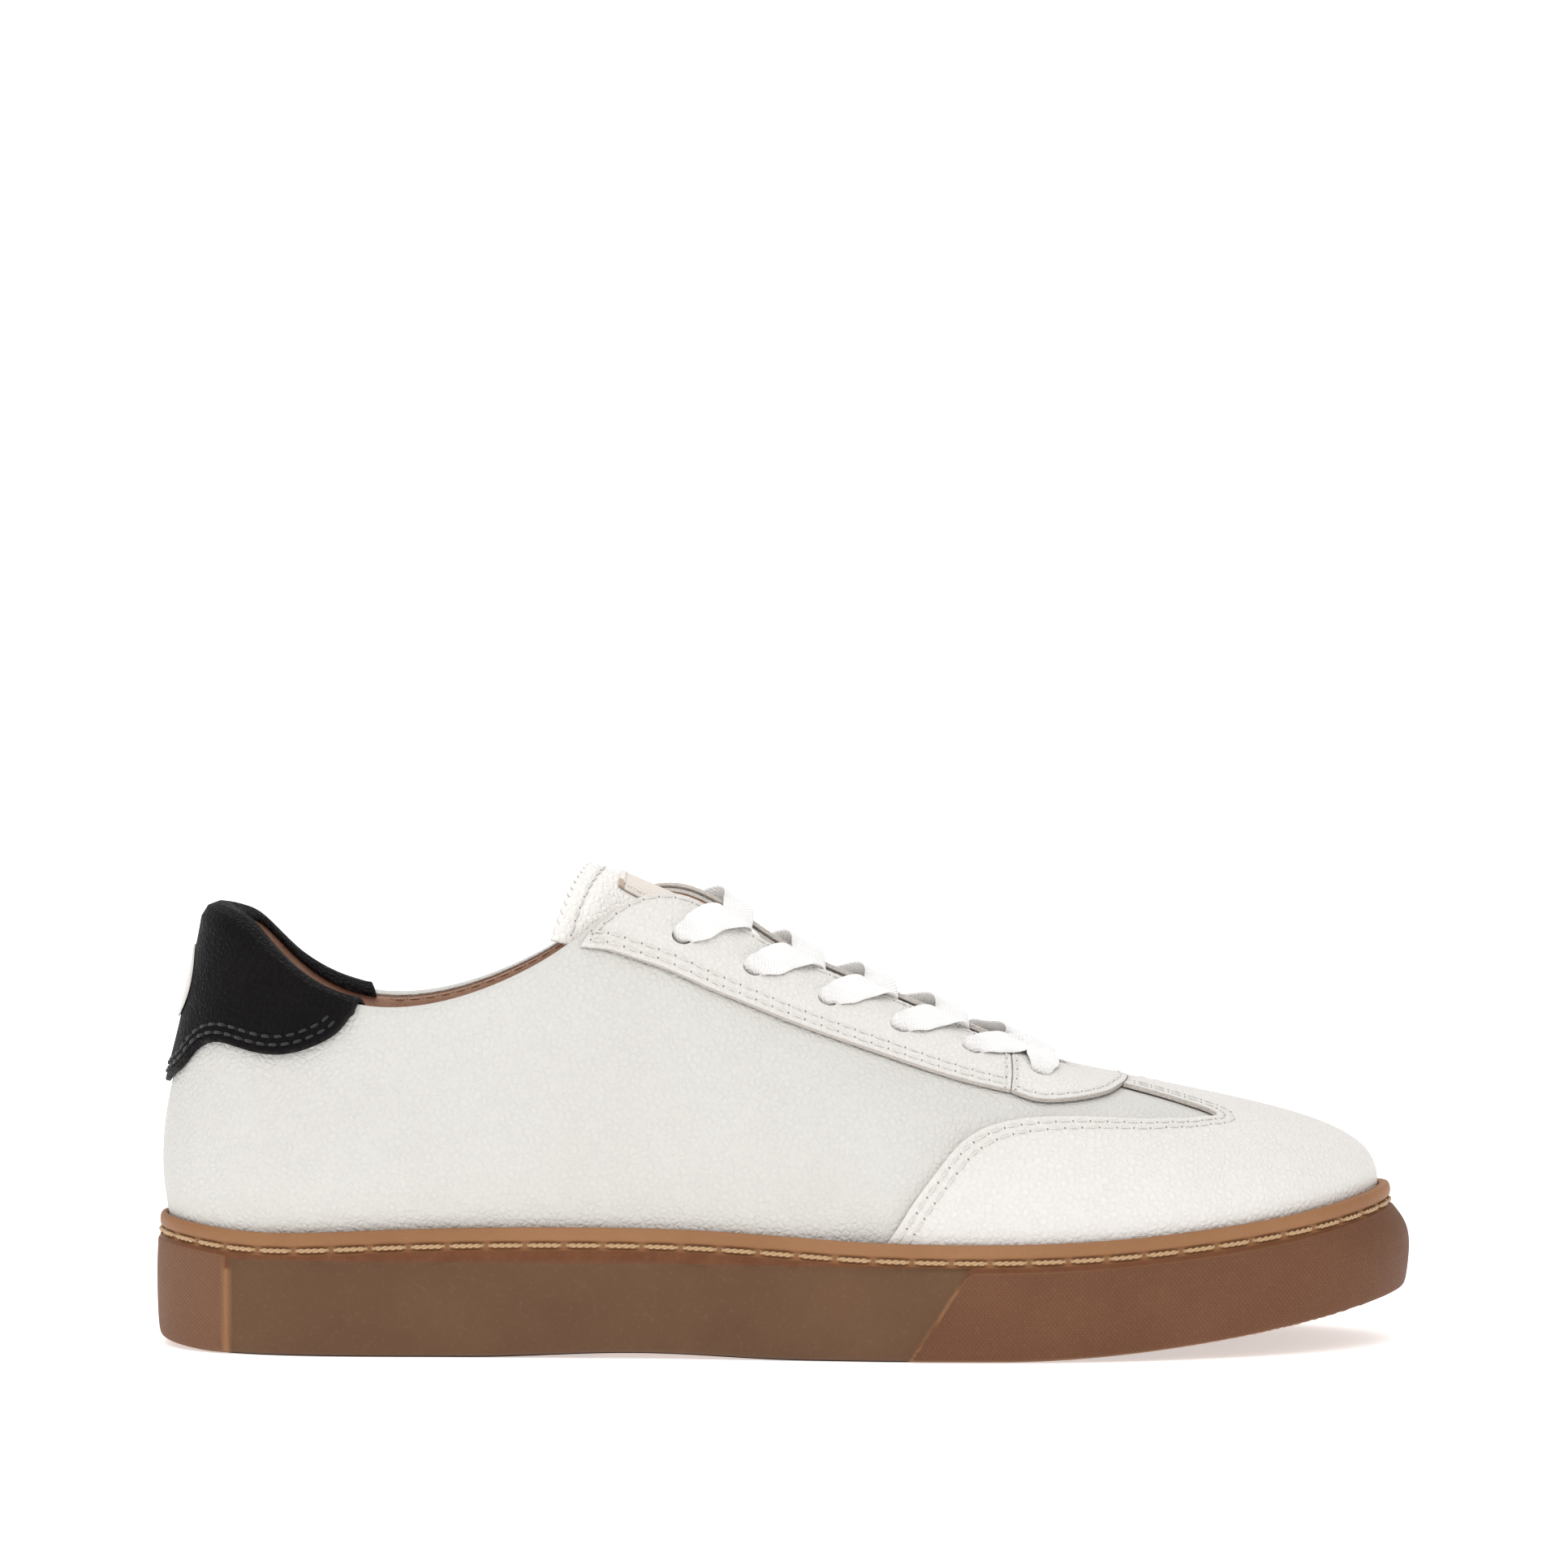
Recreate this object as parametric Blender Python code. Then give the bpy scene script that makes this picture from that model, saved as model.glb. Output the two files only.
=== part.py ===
"""Low court shoe, right foot: a rubber cupsole stitched to a lined leather upper.

Row frame: X runs from heel to toe, Y to the medial (inner) side, Z up from the ground.
All sizes below are in millimetres; only the last step of each mesh turns them into metres.
"""
import math

import bpy
import numpy as np
from mathutils import Matrix, Vector
from mathutils.geometry import delaunay_2d_cdt

MM = 0.001
GAP = 0.3                 # between pieces that touch on the real shoe
OVER = 0.45               # under an overlay
LEATHER = 1.2             # quarter, vamp, eyestays, heel tab
LINING = 0.8
LIP_DROP = 13.0           # how far the upper runs down inside the cup
WALL_V = 70.0             # chart height that stands for the outer wall, rim to topline
ROLL_V = 10.0             # chart height that stands for the rolled top edge
CUP_FLOOR = 5.0           # rubber under the foam
BOARD = 1.4               # lasting board
FOOTBED = 4.5             # removable footbed
GROOVE_BELOW_RIM = 4.2    # stitch groove in the sidewall
EYELET_RADIUS = 2.4
LACE_WIDTH = 7.6
LACE_THICKNESS = 1.2
LACE_STEP = 5.4           # spacing of sections along the lace
LACE_LIFT = 1.3           # middle of the lace from the face it lies on
TONGUE_CLEAR = 3.2        # tongue below the lining, leaving room for the lace
CAD_STEP = 10.0           # spacing of points along curved seams
PLATE_STEP = 16.0         # spacing of points across the flat plates
AROUND = 64               # grid lines round the last
GRID_V = [-10, 0, 14, 28, 42, 56, 63, 70, 72.5, 75, 77.5]   # grid lines up the wall and over the roll

# Height of the cupsole's rim along X, and of the tread's underside.
RIM_X = [-152, -146, -128, -100, -50, -18, 16, 45, 74, 97, 121, 142, 150]
RIM_Z = [32.2, 31.4, 29.3, 29.7, 30.8, 30.2, 28.2, 27.5, 28.3, 30.3, 33.6, 38.2, 40.2]

# Stations round the last, heel centre -> lateral -> toe -> medial.
# base x, y (outer face of the quarter at the rim), topline x, y, z,
# swell (outward, mm), lower pull, lean, upper pull, collar pad, counter, sole wall.
STATIONS = [
    (-146.6, 0.0, -136.8, 0.0, 101.3, 2.2, .33, .45, .55, 4.2, 1.5, 2.4),
    (-143.6, -14.5, -134.9, -10.8, 100.7, 2.3, .33, .46, .56, 4.2, 1.5, 2.5),
    (-134.5, -26.0, -128.6, -20.4, 97.9, 2.5, .33, .48, .58, 4.4, 1.5, 2.8),
    (-120.0, -33.8, -118.0, -27.8, 88.6, 2.6, .33, .50, .60, 4.6, 1.4, 3.2),
    (-100.0, -37.2, -101.5, -32.6, 80.3, 2.6, .33, .50, .62, 4.4, 1.0, 3.4),
    (-78.0, -38.0, -80.0, -34.0, 81.0, 2.4, .33, .50, .62, 3.8, 0.4, 3.4),
    (-58.0, -39.0, -60.0, -32.6, 89.0, 2.0, .34, .40, .66, 2.6, 0.0, 3.5),
    (-45.0, -39.8, -47.5, -28.2, 97.6, 1.5, .35, .30, .72, 1.0, 0.0, 3.6),
    (-36.0, -40.4, -37.5, -20.6, 104.9, 1.2, .35, .20, .78, 0.2, 0.0, 3.7),
    (-28.0, -41.1, -28.0, -14.5, 106.8, 1.0, .35, .15, .80, 0.0, 0.0, 3.8),
    (-18.0, -42.2, -18.0, -12.4, 103.3, 1.0, .36, .17, .79, 0.0, 0.0, 3.9),
    (0.0, -44.8, -2.0, -11.8, 93.6, 1.0, .36, .20, .78, 0.0, 0.0, 4.2),
    (25.0, -48.2, 22.0, -11.3, 83.0, 1.0, .38, .24, .79, 0.0, 0.0, 4.8),
    (48.0, -49.0, 44.0, -10.7, 73.6, 1.0, .40, .27, .80, 0.0, 0.0, 5.0),
    (70.0, -47.4, 57.0, -9.5, 68.6, 1.0, .42, .28, .78, 0.0, 0.0, 5.1),
    (92.0, -42.3, 63.0, -7.0, 66.1, 1.0, .44, .28, .74, 0.0, 0.0, 5.4),
    (112.0, -33.3, 65.6, -4.4, 65.2, 0.8, .45, .28, .68, 0.0, 0.0, 6.2),
    (128.5, -20.0, 66.3, -2.0, 65.0, 0.6, .46, .27, .63, 0.0, 0.0, 7.4),
    (137.3, -6.0, 66.6, 0.2, 64.95, 0.5, .46, .27, .60, 0.0, 0.0, 8.4),
    (140.3, 8.5, 66.7, 2.0, 64.9, 0.4, .46, .27, .60, 0.0, 0.0, 8.7),
    (136.9, 22.5, 66.6, 3.8, 64.95, 0.5, .46, .27, .60, 0.0, 0.0, 8.3),
    (127.0, 34.3, 66.3, 6.0, 65.0, 0.6, .46, .27, .63, 0.0, 0.0, 7.3),
    (111.0, 43.3, 65.4, 8.4, 65.2, 0.8, .45, .28, .68, 0.0, 0.0, 6.2),
    (92.0, 48.0, 62.6, 10.7, 66.2, 1.0, .44, .28, .74, 0.0, 0.0, 5.4),
    (70.0, 49.0, 56.5, 12.5, 68.7, 1.2, .42, .28, .78, 0.0, 0.0, 5.0),
    (48.0, 47.2, 44.0, 13.7, 73.8, 1.6, .40, .27, .80, 0.0, 0.0, 4.9),
    (25.0, 42.5, 22.0, 13.3, 83.4, 2.0, .38, .24, .79, 0.0, 0.0, 4.6),
    (0.0, 37.5, -2.0, 12.9, 94.8, 2.4, .36, .20, .78, 0.0, 0.0, 4.0),
    (-18.0, 35.4, -18.0, 13.6, 105.2, 2.5, .36, .17, .79, 0.0, 0.0, 3.8),
    (-28.0, 34.7, -28.0, 15.4, 107.9, 2.5, .35, .15, .80, 0.0, 0.0, 3.7),
    (-36.0, 34.4, -37.5, 20.8, 105.4, 2.5, .35, .20, .78, 0.2, 0.0, 3.6),
    (-45.0, 34.3, -47.5, 27.6, 97.6, 2.5, .35, .30, .72, 1.0, 0.0, 3.5),
    (-58.0, 34.5, -60.0, 31.8, 89.0, 2.4, .34, .40, .66, 2.6, 0.0, 3.4),
    (-78.0, 35.3, -80.0, 33.2, 81.0, 2.4, .33, .50, .62, 3.8, 0.4, 3.4),
    (-100.0, 35.7, -101.5, 32.2, 80.3, 2.5, .33, .50, .62, 4.4, 1.0, 3.4),
    (-120.0, 33.2, -118.0, 27.6, 88.6, 2.5, .33, .50, .60, 4.6, 1.4, 3.2),
    (-134.5, 25.6, -128.6, 20.2, 97.9, 2.4, .33, .48, .58, 4.4, 1.5, 2.8),
    (-143.6, 14.4, -134.9, 10.6, 100.7, 2.3, .33, .46, .56, 4.2, 1.5, 2.5),
]
TOE_STATION = 19

# Seam lines of the lateral side, as x and z on the wall.
EYESTAY_EDGE = [(-48.2, 95.6), (-41.6, 94.6), (-34, 92.2), (-24.4, 88.6), (-8.3, 81.6), (11.4, 74),
                (36.1, 65.6), (53, 61.2)]
VAMP_EDGE = [(24.1, 27.9), (26.9, 32.1), (30.7, 37.9), (35.7, 44.4), (40.7, 50), (46, 53.2), (52, 54.8),
             (60.2, 55.4), (72, 55.1), (84, 54.2)]
VAMP_TIP = [(92.5, -22.9), (98.5, -19.8), (101.9, -17.3), (99.8, -15.2), (95.7, -13.6), (89, -11.4),
            (80.3, -9.4)]
TAB_EDGE = [(-144.9, 63.4), (-141.5, 66.6), (-138.9, 69.8), (-136.2, 72.0), (-133, 72.7), (-128.6, 71.8),
            (-122.3, 70.4), (-118.5, 70.3), (-114.9, 70.8), (-111.4, 71.9), (-107.8, 73.5), (-104.2, 76.0),
            (-101.7, 79.2)]
EYELETS = [(-24.4, 97.2), (-7.9, 89.5), (9.9, 82.0), (26.9, 75.6), (43.9, 70.2), (60.2, 64.6)]

TONGUE_X = [-60, -47, -38, -30, -20, -2, 22, 44, 57, 66, 74]
TONGUE_Z = [114.8, 113.4, 110.6, 107.6, 102.6, 91.2, 79.4, 69.8, 64.3, 60.2, 57.2]


class Spline:
    """Smooth curve through rows of values at rising knots; closed when a period is given."""

    def __init__(self, knots, rows, period=None):
        self.period = period
        knots, rows = np.array(knots, float), np.array(rows, float)
        if rows.ndim == 1:
            rows = rows[:, None]
        if period:
            knots, rows = np.append(knots, knots[0] + period), np.vstack([rows, rows[:1]])
        n = len(knots) - 1
        step = np.diff(knots)
        slope = np.diff(rows, axis=0) / step[:, None]
        size = n if period else n + 1
        system, right = np.zeros((size, size)), np.zeros((size, rows.shape[1]))
        for i in range(size):
            if not period and i in (0, n):
                system[i, i] = 1
                continue
            before, after = step[i - 1], step[i % n]
            system[i, (i - 1) % size] += before
            system[i, i] += 2 * (before + after)
            system[i, (i + 1) % size] += after
            right[i] = 6 * (slope[i % n] - slope[i - 1])
        bend = np.linalg.solve(system, right)
        self.bend = np.vstack([bend, bend[:1]]) if period else bend
        self.knots, self.rows, self.step = knots, rows, step

    def __call__(self, at):
        at = np.atleast_1d(np.asarray(at, float))
        if self.period:
            at = (at - self.knots[0]) % self.period + self.knots[0]
        i = np.clip(np.searchsorted(self.knots, at, side="right") - 1, 0, len(self.step) - 1)
        h = self.step[i][:, None]
        a = (self.knots[i + 1] - at)[:, None] / h
        b = 1 - a
        return (a * self.rows[i] + b * self.rows[i + 1]
                + ((a ** 3 - a) * self.bend[i] + (b ** 3 - b) * self.bend[i + 1]) * h * h / 6)


base = np.array([row[:2] for row in STATIONS])
chords = np.linalg.norm(np.roll(base, -1, axis=0) - base, axis=1)
knots = np.concatenate([[0], np.cumsum(chords)[:-1]])
PERIMETER = float(chords.sum())
TOE_U = float(knots[TOE_STATION])
lines = Spline(knots, STATIONS, PERIMETER)
rimLine = Spline(RIM_X, RIM_Z)
tongueLine = Spline(TONGUE_X, TONGUE_Z)


def rimHeight(x):
    return rimLine(x)[:, 0]


def treadHeight(x):
    """Underside of the sole: bevelled heel, low arch, rising toe spring."""
    x = np.atleast_1d(np.asarray(x, float))
    heel = np.clip((-136 - x) / 13, 0, 1) ** 2 * 1.2
    arch = 1.2 * np.clip(np.cos((x + 35) / 40 * math.pi / 2), 0, None) ** 2 * (abs(x + 35) < 40)
    toe = 0.00455 * np.clip(x - 52, 0, None) ** 1.73
    return heel + arch + toe


def smooth(x, low, high):
    t = np.clip((x - low) / (high - low), 0, 1)
    return t * t * (3 - 2 * t)


def outward(u):
    """Plan normal of the last's outline, pointing out of the shoe."""
    along = lines(u + 0.5)[:, :2] - lines(u - 0.5)[:, :2]
    along /= np.linalg.norm(along, axis=1)[:, None]
    return np.stack([along[:, 1], -along[:, 0]], axis=1)


def wall(u, t):
    """Outer face of the quarter level: t 0 at the sole's rim, 1 at the topline, -1 inside the cup."""
    row = lines(u)
    out = outward(u)
    rim = rimHeight(row[:, 0])
    up, low = np.clip(t, 0, 1), np.clip(-t, 0, 1.2)
    across = 3 * (1 - up) * up ** 2 * row[:, 7] + up ** 3
    rise = 3 * (1 - up) ** 2 * up * row[:, 6] + 3 * (1 - up) * up ** 2 * row[:, 8] + up ** 3
    swell = 6.75 * up * (1 - up) ** 2 * row[:, 5] - low ** 2
    xy = row[:, :2] + (row[:, 2:4] - row[:, :2]) * across[:, None] + out * swell[:, None]
    z = rim + (row[:, 4] - rim) * rise - low * LIP_DROP
    return np.column_stack([xy, z])


def wallNormal(u, t):
    du = wall(u + 0.4, t) - wall(u - 0.4, t)
    high, low = np.clip(t + 0.01, None, 1), t - 0.01
    dt = wall(u, high) - wall(u, low)
    n = np.cross(du, dt)
    return n / np.linalg.norm(n, axis=1)[:, None]


def buildUp(u, t):
    """Depth from the quarter's outer face to the lining's inner face."""
    row = lines(u)
    pad = np.clip(row[:, 9], 0, None) * smooth(t, .42, .84) * (1 - .3 * smooth(t, .86, 1))
    counter = np.clip(row[:, 10], 0, None) * (1 - smooth(t, .40, .62))
    return 2.6 + pad + counter


def section(u, v, depth=0.0):
    """Point of the chart: v below 0 inside the cup, to WALL_V up the outer face,
    to WALL_V + ROLL_V over the top edge, then down the lining's face. depth moves it out."""
    u, v = np.atleast_1d(u).astype(float), np.atleast_1d(v).astype(float)
    turned = WALL_V + ROLL_V
    t = np.where(v < 0, v / LIP_DROP, np.minimum(v / WALL_V, 1))
    back = v - turned
    t = np.where(back > 0, 1 - np.minimum(back / WALL_V, 1), t)
    t = np.where(back > WALL_V, -(back - WALL_V) / LIP_DROP, t)
    n, thick = wallNormal(u, t), buildUp(u, t)
    outer = wall(u, t)
    up = wall(u, np.clip(t, None, 1)) - wall(u, np.clip(t, None, 1) - .02)
    up -= n * (up * n).sum(1)[:, None]
    up /= np.linalg.norm(up, axis=1)[:, None]
    turn = np.clip((v - WALL_V) / ROLL_V, 0, 1) * math.pi
    normal = n * np.cos(turn)[:, None] + up * np.sin(turn)[:, None]
    point = outer - n * (thick / 2)[:, None] + normal * (thick / 2)[:, None]
    return point + normal * np.reshape(depth, (-1, 1))


def locate(side, a, b, axes=(0, 2)):
    """Chart point whose place has the given x and z (or x and y) on one side of the shoe."""
    span = (0, TOE_U) if side < 0 else (TOE_U, PERIMETER)
    us, ts = np.meshgrid(np.linspace(*span, 160), np.linspace(0, 1, 50))
    us, ts = us.ravel(), ts.ravel()
    grid = wall(us, ts)[:, axes]
    target = np.array([a, b], float)
    best = int(np.argmin(((grid - target) ** 2).sum(1)))
    u, t = us[best], ts[best]
    for _ in range(12):
        here = wall(np.array([u, u + .3, u]), np.array([t, t, t + .003]))[:, axes]
        slope = np.column_stack([(here[1] - here[0]) / .3, (here[2] - here[0]) / .003])
        step = np.linalg.lstsq(slope, target - here[0], rcond=None)[0]
        u += float(np.clip(step[0], -4, 4))
        t = float(np.clip(t + np.clip(step[1], -.05, .05), 0, 1))
    return u, t * WALL_V


def sideLine(side, points):
    return [locate(side, x, z) for x, z in points]


def planLine(points):
    return [locate(-1 if y < 2 else 1, x, y, (0, 1)) for x, y in points]


def even(points, step):
    """Points along a smooth line through the given ones, about one step apart."""
    points = np.array(points, float)
    length = np.concatenate([[0], np.cumsum(np.linalg.norm(np.diff(points, axis=0), axis=1))])
    count = max(2, int(round(length[-1] / step)) + 1)
    return Spline(length, points)(np.linspace(0, length[-1], count))


def gridRows():
    """Chart heights of the grid, the same on both faces of the wall so that stacked layers stay parallel."""
    return GRID_V + [2 * WALL_V + ROLL_V - v for v in GRID_V if v <= WALL_V]


def straight(a, b):
    """Chart points from a to b, split where the line crosses the grid."""
    a, b = np.array(a, float), np.array(b, float)
    step = PERIMETER / AROUND
    splits = [0.0, 1.0]
    for axis, at in ((0, np.arange(-AROUND, AROUND + 1) * step), (1, np.array(gridRows()))):
        if abs(b[axis] - a[axis]) > 1e-6:
            splits += [f for f in (at - a[axis]) / (b[axis] - a[axis]) if 0 < f < 1]
    return np.array([a + (b - a) * f for f in sorted(splits)])


def outline(*runs):
    """One closed outline from runs of points; shared ends are dropped."""
    points = [np.asarray(p, float) for run in runs for p in run]
    kept = [points[0]]
    for p in points[1:]:
        if np.linalg.norm(p - kept[-1]) > 0.3:
            kept.append(p)
    if np.linalg.norm(kept[0] - kept[-1]) < 0.3:
        kept.pop()
    return np.array(kept)


def inside(points, loop):
    """Which points lie inside a closed loop."""
    x, y = points[:, 0][:, None], points[:, 1][:, None]
    a, b = loop, np.roll(loop, -1, axis=0)
    rise = np.where(b[:, 1] == a[:, 1], 1e-9, b[:, 1] - a[:, 1])
    where = a[:, 0] + (y - a[:, 1]) * (b[:, 0] - a[:, 0]) / rise
    cut = ((a[:, 1] > y) != (b[:, 1] > y)) & (where > x)
    return cut.sum(1) % 2 == 1


def away(points, loop):
    """Distance of each point from a closed loop."""
    a = loop
    d = np.roll(loop, -1, axis=0) - a
    s = ((points[:, None] - a) * d).sum(2) / np.maximum((d * d).sum(1), 1e-9)
    nearest = a + d * np.clip(s, 0, 1)[:, :, None]
    return np.linalg.norm(nearest - points[:, None], axis=2).min(1)


def chartGrid():
    step = PERIMETER / AROUND
    return np.array([(i * step, v) for v in gridRows() for i in range(-AROUND, AROUND + 1)])


def fill(loop, step, holes=(), grid=None):
    """Triangulated sheet inside a closed outline: points (outline first, then holes), faces."""
    low, high = loop.min(0), loop.max(0)
    if grid is None:
        grid = np.array([(x + (step / 2 if j % 2 else 0), y)
                         for j, y in enumerate(np.arange(low[1] + step * .45, high[1], step * .87))
                         for x in np.arange(low[0] + step * .4, high[0], step)]).reshape(-1, 2)
    grid = grid[((grid > low) & (grid < high)).all(1)]
    keep = inside(grid, loop) & (away(grid, loop) > min(step * .45, 1.2))
    for hole in holes:
        keep &= ~inside(grid, hole) & (away(grid, hole) > 2.0)
    points, edges = [], []
    for ring in (loop, *holes):
        first = len(points)
        edges += [(first + i, first + (i + 1) % len(ring)) for i in range(len(ring))]
        points += ring.tolist()
    points += grid[keep].tolist()
    found, _, faces, *_ = delaunay_2d_cdt([Vector(p) for p in points], edges, [], 1, 1e-6)
    if len(found) != len(points):
        raise ValueError("an outline crosses itself")
    found = np.array([tuple(p) for p in found])
    middle = found[np.array(faces)].mean(1)
    drop = np.zeros(len(faces), bool)
    for hole in holes:
        drop |= inside(middle, hole)
    return found, [tuple(f) for f, gone in zip(faces, drop) if not gone]


def makeMaterial(name, colour, roughness, metallic=0.0):
    material = bpy.data.materials.new(name)
    material.use_nodes = True
    shader = material.node_tree.nodes["Principled BSDF"]
    shader.inputs["Base Color"].default_value = (*colour, 1)
    shader.inputs["Roughness"].default_value = roughness
    shader.inputs["Metallic"].default_value = metallic
    return material


def addObject(name, points, faces, material):
    mesh = bpy.data.meshes.new(name)
    mesh.from_pydata((np.asarray(points) * MM).tolist(), [], [tuple(f) for f in faces])
    mesh.update()
    mesh.shade_smooth()
    mesh.set_sharp_from_angle(angle=math.radians(40))
    mesh.materials.append(material)
    obj = bpy.data.objects.new(name, mesh)
    bpy.context.scene.collection.objects.link(obj)
    obj.parent = SHOE
    return obj


def closeShell(lower, upper, faces):
    """Solid between two copies of one sheet."""
    n = len(lower)
    solid = [tuple(i + n for i in f) for f in faces] + [tuple(reversed(f)) for f in faces]
    sides = {}
    for f in faces:
        for a, b in zip(f, f[1:] + f[:1]):
            sides[(a, b)] = True
    for a, b in sides:
        if (b, a) not in sides:
            solid.append((a, b, b + n, a + n))
    return np.vstack([lower, upper]), solid


def metric(u, v):
    """How far one step along u and along v moves a point of the outer face, with the normal."""
    here = section(u, v)
    du = (section(u + .25, v) - here) / .25
    dv = (section(u, v + .25) - here) / .25
    n = np.cross(du, dv)
    return du, dv, n / np.linalg.norm(n, axis=1)[:, None]


def chartStep(u, v, move):
    """Chart step that gives a wanted move on the surface."""
    du, dv, _ = metric(u, v)
    a, b, c = (du * du).sum(1), (du * dv).sum(1), (dv * dv).sum(1)
    p, q = (du * move).sum(1), (dv * move).sum(1)
    det = a * c - b * b
    return np.column_stack([(c * p - b * q) / det, (a * q - b * p) / det])


def shrink(loop, distance):
    """Chart outline moved inwards by a true distance on the surface."""
    loop = np.asarray(loop, float)
    ahead, behind = np.roll(loop, -1, axis=0) - loop, loop - np.roll(loop, 1, axis=0)
    du, dv, n = metric(loop[:, 0], loop[:, 1])
    turn = 1 if (loop[:, 0] * np.roll(loop, -1, axis=0)[:, 1]
                 - np.roll(loop, -1, axis=0)[:, 0] * loop[:, 1]).sum() > 0 else -1
    normals = []
    for step in (ahead, behind):
        along = du * step[:, :1] + dv * step[:, 1:]
        side = np.cross(n, along) * turn
        normals.append(side / np.linalg.norm(side, axis=1)[:, None])
    mean = normals[0] + normals[1]
    mean /= np.linalg.norm(mean, axis=1)[:, None]
    mitre = 1 / np.clip((mean * normals[0]).sum(1), .55, 1)
    return loop + chartStep(loop[:, 0], loop[:, 1], mean * (distance * mitre)[:, None])


def roundHole(u, v, radius, sides=10):
    """Chart outline of a hole that is round on the surface."""
    du, dv, n = metric(np.array([u]), np.array([v]))
    x = du / np.linalg.norm(du)
    y = np.cross(n, x)
    angles = np.arange(sides) * 2 * math.pi / sides
    moves = radius * (np.cos(angles)[:, None] * x + np.sin(angles)[:, None] * y)
    return np.array([u, v]) + chartStep(np.full(sides, u), np.full(sides, v), moves)


def chartPanel(name, loop, inner, outer, material, holes=()):
    """Solid panel between two depths of the chart."""
    points, faces = fill(loop, CAD_STEP, holes, chartGrid())
    u, v = points[:, 0], points[:, 1]
    low = section(u, v, inner(u, v) if callable(inner) else inner)
    high = section(u, v, outer(u, v) if callable(outer) else outer)
    return addObject(name, *closeShell(low, high, faces), material)


def planPlate(name, inset, lower, upper, material):
    """Solid plate inside the last's outline, between two heights along X."""
    u = np.linspace(0, PERIMETER, AROUND, endpoint=False)
    loop = lines(u)[:, :2] - outward(u) * inset
    points, faces = fill(loop, PLATE_STEP)
    low = np.column_stack([points, lower(points[:, 0])])
    high = np.column_stack([points, upper(points[:, 0])])
    return addObject(name, *closeShell(low, high, faces), material)


def boardHeight(x):
    return rimHeight(x) - LIP_DROP


def lipOut(x):
    """How far the cup's lip stands out from the last."""
    return 2.0 + 0.8 * smooth(x, -140, -110) + 1.1 * smooth(x, 0, 20) + 0.8 * smooth(x, 100, 138)


def soleProfile(u):
    """Rings of the cup's section as (distance out from the last, height), bottom to inner floor."""
    row = lines(u)
    out, width = outward(u), row[:, 11]
    x = row[:, 0]
    rim, tread, floor = rimHeight(x), treadHeight(x + out[:, 0] * width), treadHeight(x) + CUP_FLOOR
    front = smooth(x, 0, 20)
    lip = lipOut(x)
    inner = .35 + (LEATHER + OVER) * front
    groove = rim - GROOVE_BELOW_RIM
    return out, [
        (width - 3.6, tread), (width - 1.2, tread + 1.1), (width - .2, tread + 4.2),
        (width, tread + .5 * (rim - tread)), (lip + .35 * (width - lip), groove - 2.4),
        (lip + .1, groove - 1.2), (lip - 1.1, groove - 1.0), (lip - 1.1, groove + 1.0),
        (lip, groove + 1.2), (lip - .1, rim - 1.4), (lip - .8, rim), (inner, rim - .2),
        (inner, floor + 1.5), (inner - 1.6, floor),
    ]


def makeCup(material):
    count = AROUND
    u = np.linspace(0, PERIMETER, count, endpoint=False)
    out, profile = soleProfile(u)
    xy = lines(u)[:, :2]
    rings = [np.column_stack([xy + out * np.reshape(d, (-1, 1)), z]) for d, z in profile]
    points = list(np.vstack(rings))
    faces = []
    for r in range(len(rings) - 1):
        for i in range(count):
            j = (i + 1) % count
            a, b = r * count, (r + 1) * count
            faces.append((a + i, a + j, b + j, b + i))
    for ring, height, flip in ((0, 0.0, True), (len(rings) - 1, CUP_FLOOR, False)):
        sheet, tris = fill(rings[ring][:, :2], 18)
        extra = sheet[count:]
        first = len(points)
        points += list(np.column_stack([extra, treadHeight(extra[:, 0]) + height]))
        index = [ring * count + i if i < count else first + i - count for i in range(len(sheet))]
        for f in tris:
            f = [index[i] for i in f]
            faces.append(tuple(reversed(f)) if flip else tuple(f))
    return addObject("cupsole", np.array(points), faces, material)


def makeRingTube(name, centre, radius, sides, material):
    """Closed tube along a closed line of points."""
    n = len(centre)
    along = np.roll(centre, -1, axis=0) - np.roll(centre, 1, axis=0)
    along /= np.linalg.norm(along, axis=1)[:, None]
    side = np.cross(along, [0, 0, 1])
    side /= np.linalg.norm(side, axis=1)[:, None]
    up = np.cross(side, along)
    points, faces = [], []
    for i in range(n):
        for k in range(sides):
            a = 2 * math.pi * k / sides
            points.append(centre[i] + radius * (side[i] * math.cos(a) + up[i] * math.sin(a)))
    for i in range(n):
        for k in range(sides):
            j, m = (i + 1) % n, (k + 1) % sides
            faces.append((i * sides + k, i * sides + m, j * sides + m, j * sides + k))
    return addObject(name, np.array(points), [tuple(reversed(f)) for f in faces], material)


# Objects start from an empty scene, under one empty at the row's origin.
for old in list(bpy.data.objects):
    bpy.data.objects.remove(old)
SHOE = bpy.data.objects.new("shoe_origin", None)
bpy.context.scene.collection.objects.link(SHOE)

gum = makeMaterial("gum_rubber", (0.26, 0.10, 0.05), 0.45)
white = makeMaterial("white_leather", (0.83, 0.80, 0.76), 0.5)
black = makeMaterial("black_leather", (0.02, 0.018, 0.02), 0.55)
tan = makeMaterial("tan_lining", (0.58, 0.32, 0.22), 0.75)
foam = makeMaterial("foam", (0.80, 0.74, 0.55), 0.9)
board = makeMaterial("board", (0.60, 0.52, 0.40), 0.9)
cotton = makeMaterial("cotton", (0.90, 0.90, 0.90), 0.85)
waxed = makeMaterial("waxed_thread", (0.55, 0.36, 0.18), 0.7)
plastic = makeMaterial("clear_plastic", (0.85, 0.85, 0.85), 0.3)

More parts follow.
